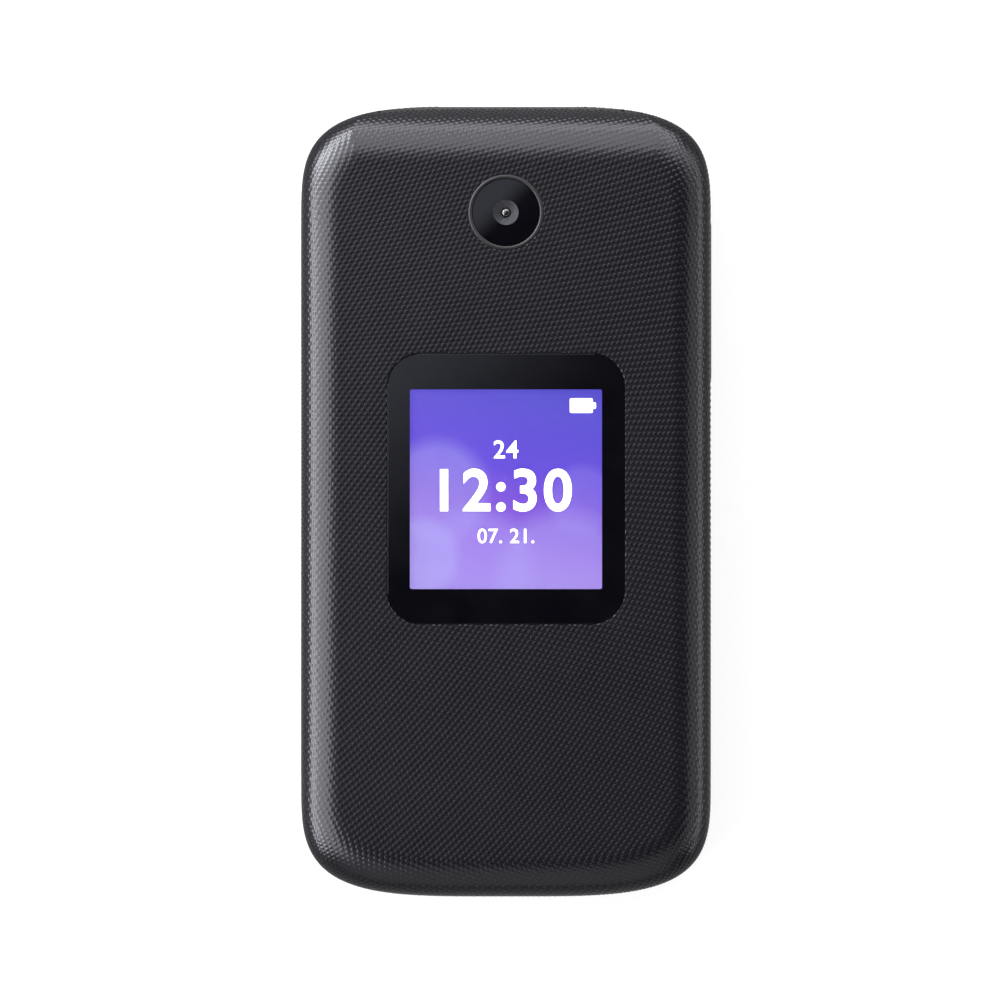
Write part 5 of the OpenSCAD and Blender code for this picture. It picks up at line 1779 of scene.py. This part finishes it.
@dataclass
class Keypad:
    """The keys, the direction ring and the key in its middle."""

    nav_y: float = 22.0
    ring: Point2 = (5.0, 11.0)
    ring_top: float = 10.2

    def build(self) -> None:
        """Builds every key and mark."""
        for key in KEYS:
            key.build()
        mid = (0.0, self.nav_y)
        inner, outer = self.ring
        top = self.ring_top
        ring = Solid.turned([
            (inner, 9.6), (outer, 9.6), (outer, top - 0.14), (outer - 0.1, top - 0.03), (outer - 0.3, top),
            (inner + 0.3, top), (inner + 0.06, top - 0.06), (inner, top - 0.16),
        ], mid, 128)
        ring.add(Solid.turned([(5.5, 9.25), (6.4, 9.25), (6.4, 9.65), (5.5, 9.65)], mid, 64))
        ring.add(Solid.rods(0.35, 9.05, 9.63, [(0.0, self.nav_y + dy) for dy in (-6.0, 6.0)], 24))
        ring.piece("direction_ring", Finish.RIM, "nav_ring_body", "dark_metal", ["nav_ring"], 28)
        arrows = Solid.group(wedge((8.1 * math.cos(a), self.nav_y + 8.1 * math.sin(a)), 0.75, math.degrees(a),
                                   top - 0.002, top + 0.01) for a in np.linspace(0, 1.5 * math.pi, 4))
        arrows.piece("direction_marks", Finish.PALE_PRINT, "nav_ring_body")
        crown = [(4.8 * math.sin(a), 10.14 + 0.155 * math.cos(a)) for a in np.linspace(math.pi / 2, 0.08, 8)]
        centre = Solid.turned([(0, 8.4), (1.2, 8.4), (1.2, 9.15), (4.8, 9.15), *crown, (0, 10.295)], mid, 96)
        centre.piece("ok_key_cap", Finish.KEY, "ok_key_body", "key_plastic", ["ok_key"])
        mark = Solid.turned([(1.15, 10.28), (1.5, 10.28), (1.5, 10.299), (1.15, 10.3)], mid, 48)
        mark.piece("ok_key_mark", Finish.PALE_PRINT, "ok_key_body")


@dataclass
class InnerFace(Hinged):
    """The lid's inner side: its cover, window, main display, earpiece, plugs and bumpers."""

    outline: Outline = field(default_factory=lambda: Outline(27.3, 52.65, 16.17))
    low: float = 10.5
    high: float = 11.5
    axis: Point2 = (45.2, 11.4)
    barrel_r: float = 7.4
    skin: float = 1.1
    skin_end: float = 47.0
    window: tuple[float, float, float] = (48.8, 69.2, 1.5)
    opening: Point2 = (44.2, 58.6)
    active: Point2 = (43.2, 57.6)
    middle_y: float = -6.0
    posts: tuple[Point2, ...] = ((-22.2, -44.5), (22.2, -44.5), (-22.2, 33.0), (22.2, 33.0))
    ear_y: float = -46.2
    bumpers: tuple[Point2, ...] = ((-12.0, -47.6), (12.0, -47.6))

    def build(self) -> None:
        """Builds every piece of the inner side."""
        self.cover()
        self.window_pane()
        self.display()
        self.small_parts()
        self.film()

    def cover(self) -> None:
        """Builds the inner cover with the underside of the hinge barrel."""
        y, z = self.axis
        rows = [(self.low + 0.3 * (1 - math.sin(a)), 1.25 + 0.3 * (1 - math.cos(a)))
                for a in np.linspace(math.pi / 2, 0, 5)]
        plate = self.levels([*rows, (self.high, 1.25)])
        plate.keep(Solid.block((-60, 60), (-70, y - self.barrel_r + self.skin + 0.05), (0, 60)))
        plate.add(Solid.rods(2.1, self.low + 0.01, self.high + 0.7, self.posts))
        shell = self.drum(self.barrel_r, -28, 28).keep(self.plan(0.0, 0, 60))
        shell.cut(self.drum(self.barrel_r - self.skin, -29, 29).keep(self.plan(self.skin, 0, 60)))
        a = math.radians(-self.skin_end)
        reach = 20.0
        along, up = (math.cos(a) * reach, math.sin(a) * reach), (-math.sin(a) * reach, math.cos(a) * reach)
        sector = [(y, z), (y + along[0], z + along[1]), (y + along[0] + up[0], z + along[1] + up[1]),
                  (y + up[0], z + up[1])]
        shell.cut(Solid.block((-60, 60), (-70, 70), (self.low, 60)), Solid.along_x(sector, (-60, 60)),
                  Solid.block((-60, 60), (y, 70), (z - 1.08, 60)))
        plate.add(shell)
        w, l, r = self.window
        plate.cut(Solid.pad(w + 0.1, l + 0.1, r, 0, self.low + 0.6, (0, self.middle_y)))
        plate.cut(Solid.pad(*self.opening, 0.6, 0, 60, (0, self.middle_y)))
        plate.cut(Solid.rods(1.6, 0, self.high, self.posts))
        plate.cut(Solid.rods(0.8, 0, 60, self.posts, 24))
        plate.cut(Solid.pad(9.2, 1.8, 0.85, 0, 60, (0, self.ear_y)))
        plate.cut(Solid.rods(1.5, 0, self.low + 0.4, self.bumpers))
        plate.cut(Solid.group(Solid.block((side * 16 - 2.5, side * 16 + 2.5), (y - 8.4, 60), (-1, 12.2))
                              for side in (-1, 1)))
        plate.piece("lid_inner_shell", Finish.INNER, "lid", "black_plastic", ["lid_inner_cover"])

    def window_pane(self) -> None:
        """Builds the inner window: black at its border, clear over the lit area."""
        w, l, r = self.window
        mid = (0.0, self.middle_y)
        low, high = self.low + 0.02, self.low + 0.6
        pane = crowned_pane(frame_points(w, l, r, 8, mid), frame_points(*self.active, 0.4, 3, mid),
                            low, high, mid, 9000.0)
        half_x, half_y = self.active[0] / 2, self.active[1] / 2
        pane.under((low + high) / 2).piece(
            "inner_window_pane", Finish.GLOSS, "lid", "window_glass", ["inner_window"], 50,
            Finish.GLASS, lambda c: abs(c.x) < half_x and abs(c.y - self.middle_y) < half_y)

    def display(self) -> None:
        """Builds the main display's module, lit panel and marks."""
        mid = (0.0, self.middle_y)
        module = Solid.pad(50, 69.2, 0.5, 12.0, 13.6, mid, steps=3)
        module.add(Solid.pad(48, 64.2, 0.4, 11.62, 12.1, (0, self.middle_y + 1), steps=3))
        module.piece("main_display_module", Finish.CHASSIS, "lid", "display", ["main_display"])
        panel = Solid.pad(self.active[0] + 0.8, self.active[1] + 0.8, 0.3, 11.2, 11.62, mid, steps=3)
        screen = Screen("main_screen", mid, self.active, False, 0.75)
        panel.piece("main_display_panel", screen.build(), "lid", "display")
        ScreenMarks("main_display", "lid", 11.19, mid, self.active, False, (
            ("clock", "12:30", 9.0, (0.0, 9.0), 0.1), ("date", "07. 21.", 3.0, (0.0, -0.5), 0.03),
            ("reading", "24", 2.6, (-18.2, 26.2), 0.02)), (3.2, 2.4, 1.0)).build()

    def small_parts(self) -> None:
        """Builds the earpiece's mesh, the lid's screws and their plugs, and the bumpers."""
        hole = Solid.rod(0.2, 10, 12, count=16)
        mesh = Solid.pad(9.18, 1.78, 0.84, self.low + 0.3, self.high, (0, self.ear_y))
        mesh.cut(Repeat("earpiece_holes", hole).solid(
            [(k * 0.62, self.ear_y + dy, 0) for k in range(-6, 7) for dy in (-0.342, 0.342)]))
        mesh.piece("earpiece_grille", Finish.STEEL, "lid", "bright_metal", ["earpiece_mesh"])
        made = Repeat("lid_screw_set",
                      screw(1.45, (self.high - 0.6, self.high), (self.high, self.high + 4.2)))
        screws = made.mesh([(x, y, 0) for x, y in self.posts], Finish.STEEL)
        screws.set_sharp_from_angle(angle=math.radians(30))
        place("lid_screw_set", screws, "lid", "bright_metal", ["lid_screws"])
        for name, node, radius, span, spots in (
                ("plug_set", "screw_plugs", 1.55, (self.low + 0.01, self.high - 0.6), self.posts),
                ("bumper_set", "lid_bumpers", 1.45, (self.low - 0.15, self.low + 0.4), self.bumpers)):
            low, high = span
            plug = Solid.turned([(0, low), (radius - 0.25, low + 0.01), (radius - 0.06, low + 0.08),
                                 (radius, low + 0.22), (radius, high), (0, high)], (0.0, 0.0), 32)
            mesh = Repeat(name, plug).mesh([(x, y, 0) for x, y in spots], Finish.RUBBER)
            mesh.set_sharp_from_angle(angle=math.radians(40))
            place(name, mesh, "lid", "soft_rubber", [node])

    def film(self) -> None:
        """Winds the display's film round the hinge, from the base's board to the lid's."""
        y, z = self.axis
        roll = Solid.turned([
            (1.4, 0.8), (1.6, 0.8), *((1.6, x) for x in np.linspace(2, 17, 16)), (1.6, 18.4),
            (1.4, 18.4), *((1.4, x) for x in np.linspace(17, 2, 16)),
        ], (0.0, 0.0), 48).laid("x", (0.0, y, z))
        for box in (((0.8, 4.8), (33.8, y), (z + 1.4, z + 1.6)), ((0.8, 4.8), (33.8, 34.0), (z + 1.4, 15.2)),
                    ((0.8, 4.8), (29.8, 34.0), (15.0, 15.2)), ((15.1, 18.0), (34.4, y), (z - 1.6, z - 1.4)),
                    ((15.1, 18.0), (34.4, 34.6), (7.8, z - 1.4))):
            roll.add(Solid.block(*box))
        made = roll.merged().piece("display_film", Finish.FILM, "", "film", ["display_flex"])
        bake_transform(made)


# ------------------------------------------------------------------ the stage


@dataclass(frozen=True)
class Softbox:
    """A rectangular lamp that faces the phone."""

    name: str
    at: tuple[float, float, float]
    size: Point2
    power: float
    aim: tuple[float, float, float] = (0.0, 0.0, 0.012)

    def build(self) -> None:
        """Hangs the lamp."""
        lamp = bpy.data.lights.new(self.name, "AREA")
        lamp.shape = "RECTANGLE"
        lamp.size, lamp.size_y = self.size
        lamp.energy = self.power
        lamp.spread = math.pi
        holder = bpy.data.objects.new(self.name, lamp)
        holder.location = self.at
        direction = Vector(self.aim) - Vector(self.at)
        holder.rotation_euler = direction.to_track_quat("-Z", "Y").to_euler()
        bpy.context.scene.collection.objects.link(holder)


@dataclass
class Studio:
    """The pale floor, the soft lamps, the world and the camera."""

    scale: float = 0.13317
    centre_px: Point2 = (505.93, 500.98)
    distance: float = 1.85
    plane: float = 0.012
    bright_from: tuple[float, float, float] = (-0.707, 0.707, 0.0)
    bright_edge: Point2 = (-0.002, 0.068)
    world_level: Point2 = (0.03, 0.95)
    floor_gloss: float = 0.46
    floor_glow: float = 0.8
    floor_shade: float = 0.9
    floor_gap: float = 0.0001
    photo_px: float = 1000.0

    def build(self) -> None:
        """Sets the stage."""
        bpy.context.scene.view_settings.view_transform = "Standard"
        self.world()
        self.floor()
        for box in (
            Softbox("left_softbox", (-0.52, 0.0, 0.14), (0.8, 0.19), 5.7),
            Softbox("left_fill", (-0.38, 0.0, 0.38), (0.8, 0.36), 4.8),
            Softbox("corner_softbox", (-0.40, 0.40, 0.22), (0.5, 0.2), 6.0),
            Softbox("rear_softbox", (-0.05, 0.53, 0.12), (0.9, 0.2), 3.3),
            Softbox("rear_fill", (-0.05, 0.37, 0.39), (0.9, 0.36), 3.7),
            Softbox("far_corner", (0.38, 0.40, 0.24), (0.4, 0.2), 0.75),
            Softbox("right_softbox", (0.53, 0.0, 0.08), (0.8, 0.14), 1.45),
            Softbox("right_fill", (0.44, 0.0, 0.31), (0.8, 0.22), 0.8),
            Softbox("front_softbox", (0.0, -0.45, 0.31), (0.7, 0.55), 1.15),
        ):
            box.build()
        self.camera()

    def world(self) -> None:
        """Lights the world from dark to light across the room, with a white ground for the camera."""
        world = bpy.data.worlds.new("studio")
        world.use_nodes = True
        sky = Nodes(world.node_tree)
        toward = sky.node("ShaderNodeVectorMath", {
            0: sky.node("ShaderNodeTexCoord").outputs["Generated"], 1: Vector(self.bright_from).normalized(),
        }, operation="DOT_PRODUCT")
        level = sky.node("ShaderNodeMapRange", {
            "Value": toward.outputs["Value"], "From Min": self.bright_edge[0],
            "From Max": self.bright_edge[1], "To Min": self.world_level[0], "To Max": self.world_level[1],
        }, interpolation_type="SMOOTHSTEP")
        ground = sky.node("ShaderNodeMix", {
            "Factor": self.seen_by(sky, {"Is Camera Ray": 1.0}), "A": level.outputs["Result"], "B": 1.0,
        })
        sky.fill(sky.tree.nodes["Background"], {"Color": (1, 1, 1, 1), "Strength": ground.outputs["Result"]})
        bpy.context.scene.world = world

    @staticmethod
    def seen_by(nodes: Nodes, rays: dict[str, float]) -> bpy.types.NodeSocket:
        """Returns a socket that holds the share given for each named kind of ray."""
        path = nodes.node("ShaderNodeLightPath")
        found = None
        for name, share in rays.items():
            part = nodes.node("ShaderNodeMath", {0: path.outputs[name], 1: share}, operation="MULTIPLY")
            if found:
                part = nodes.node("ShaderNodeMath", {0: found, 1: part.outputs[0]}, operation="MAXIMUM")
            found = part.outputs[0]
        return found

    def floor(self) -> None:
        """Lays a pale floor that doesn't hide the phone's back from below."""
        mesh = bpy.data.meshes.new("floor")
        low = -self.floor_gap
        mesh.from_pydata([(-3, -3, low), (3, -3, low), (3, 3, low), (-3, 3, low)], [], [(0, 1, 2, 3)])
        ground = Shader("floor")
        ground.put(Base_Color=(*(self.floor_shade,) * 3, 1), Roughness=0.9)
        dim = ground.span(self.seen_by(ground, {"Is Glossy Ray": 1.0}), 1.0, self.floor_gloss)
        glow = ground.node("ShaderNodeEmission", {"Strength": dim})
        seen = self.seen_by(ground, {
            "Is Camera Ray": self.floor_glow, "Is Glossy Ray": 1.0, "Is Transmission Ray": self.floor_glow,
        })
        mix = ground.node("ShaderNodeMixShader", {
            "Fac": seen, 1: ground.principled.outputs[0], 2: glow.outputs[0],
        })
        last = ground.node("ShaderNodeMixShader", {
            "Fac": ground.node("ShaderNodeNewGeometry").outputs["Backfacing"], 1: mix.outputs[0],
            2: ground.node("ShaderNodeBsdfTransparent").outputs[0],
        })
        ground.link(last.outputs[0], ground.tree.nodes["Material Output"].inputs["Surface"])
        mesh.materials.append(ground.material)
        floor = bpy.data.objects.new("floor", mesh)
        bpy.context.scene.collection.objects.link(floor)

    def camera(self) -> None:
        """Hangs the camera straight above the lid, as in the photograph."""
        data = bpy.data.cameras.new("camera")
        data.sensor_width = 36
        data.lens = 36 * (self.distance - self.plane) / self.scale
        data.clip_end = 20
        holder = bpy.data.objects.new("camera", data)
        pixel, half = self.scale / self.photo_px, self.photo_px / 2
        holder.location = ((half - self.centre_px[0]) * pixel, (self.centre_px[1] - half) * pixel,
                           self.distance)
        bpy.context.scene.collection.objects.link(holder)
        bpy.context.scene.camera = holder


# ------------------------------------------------------------------ carried-over nodes


CARRIED: dict[Finish, tuple[str, ...]] = {
    Finish.MATTE: ("loudspeaker",),
    Finish.KEY: ("key_1", "key_2", "key_3", "key_4", "key_5", "key_6", "key_7", "key_8", "key_9", "key_star",
                 "key_0", "key_hash", "soft_key_left", "soft_key_right", "call_key", "end_key", "clear_key"),
    Finish.RUBBER: ("keypad_mat", "nav_pad", "screw_plugs", "lid_bumpers"),
    Finish.STEEL: ("hinge_cam", "hinge_spring", "hinge_shaft", "side_switches", "microphone"),
    Finish.CHASSIS: ("lid_chassis", "hinge_can", "hinge_bush", "sim_holder", "earpiece"),
    Finish.GOLD: ("battery_contacts", "antenna"),
    Finish.BOARD: ("lid_board", "main_board"),
    Finish.SHEET: ("dome_sheet",),
}


def dress_nodes(nodes: dict[str, bpy.types.Object]) -> None:
    """Gives every carried-over CAD node its finish.

    Args:
        nodes: The CAD nodes by name.
    """
    for finish, names in CARRIED.items():
        for name in names:
            slots = nodes[name].material_slots
            if not slots:
                nodes[name].data.materials.append(finish.material())
            for slot in slots:
                slot.material = finish.material()


def main() -> None:
    """Builds the phone around its frame."""
    logging.basicConfig(level=logging.INFO, format="%(message)s")
    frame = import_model()
    dress_nodes(frame["nodes"])
    for assembly in (Lid(), InnerFace(), Base(), Back(), Keypad()):
        assembly.build()
    Studio().build()
    bpy.context.view_layer.update()


if __name__ == "__main__":
    main()
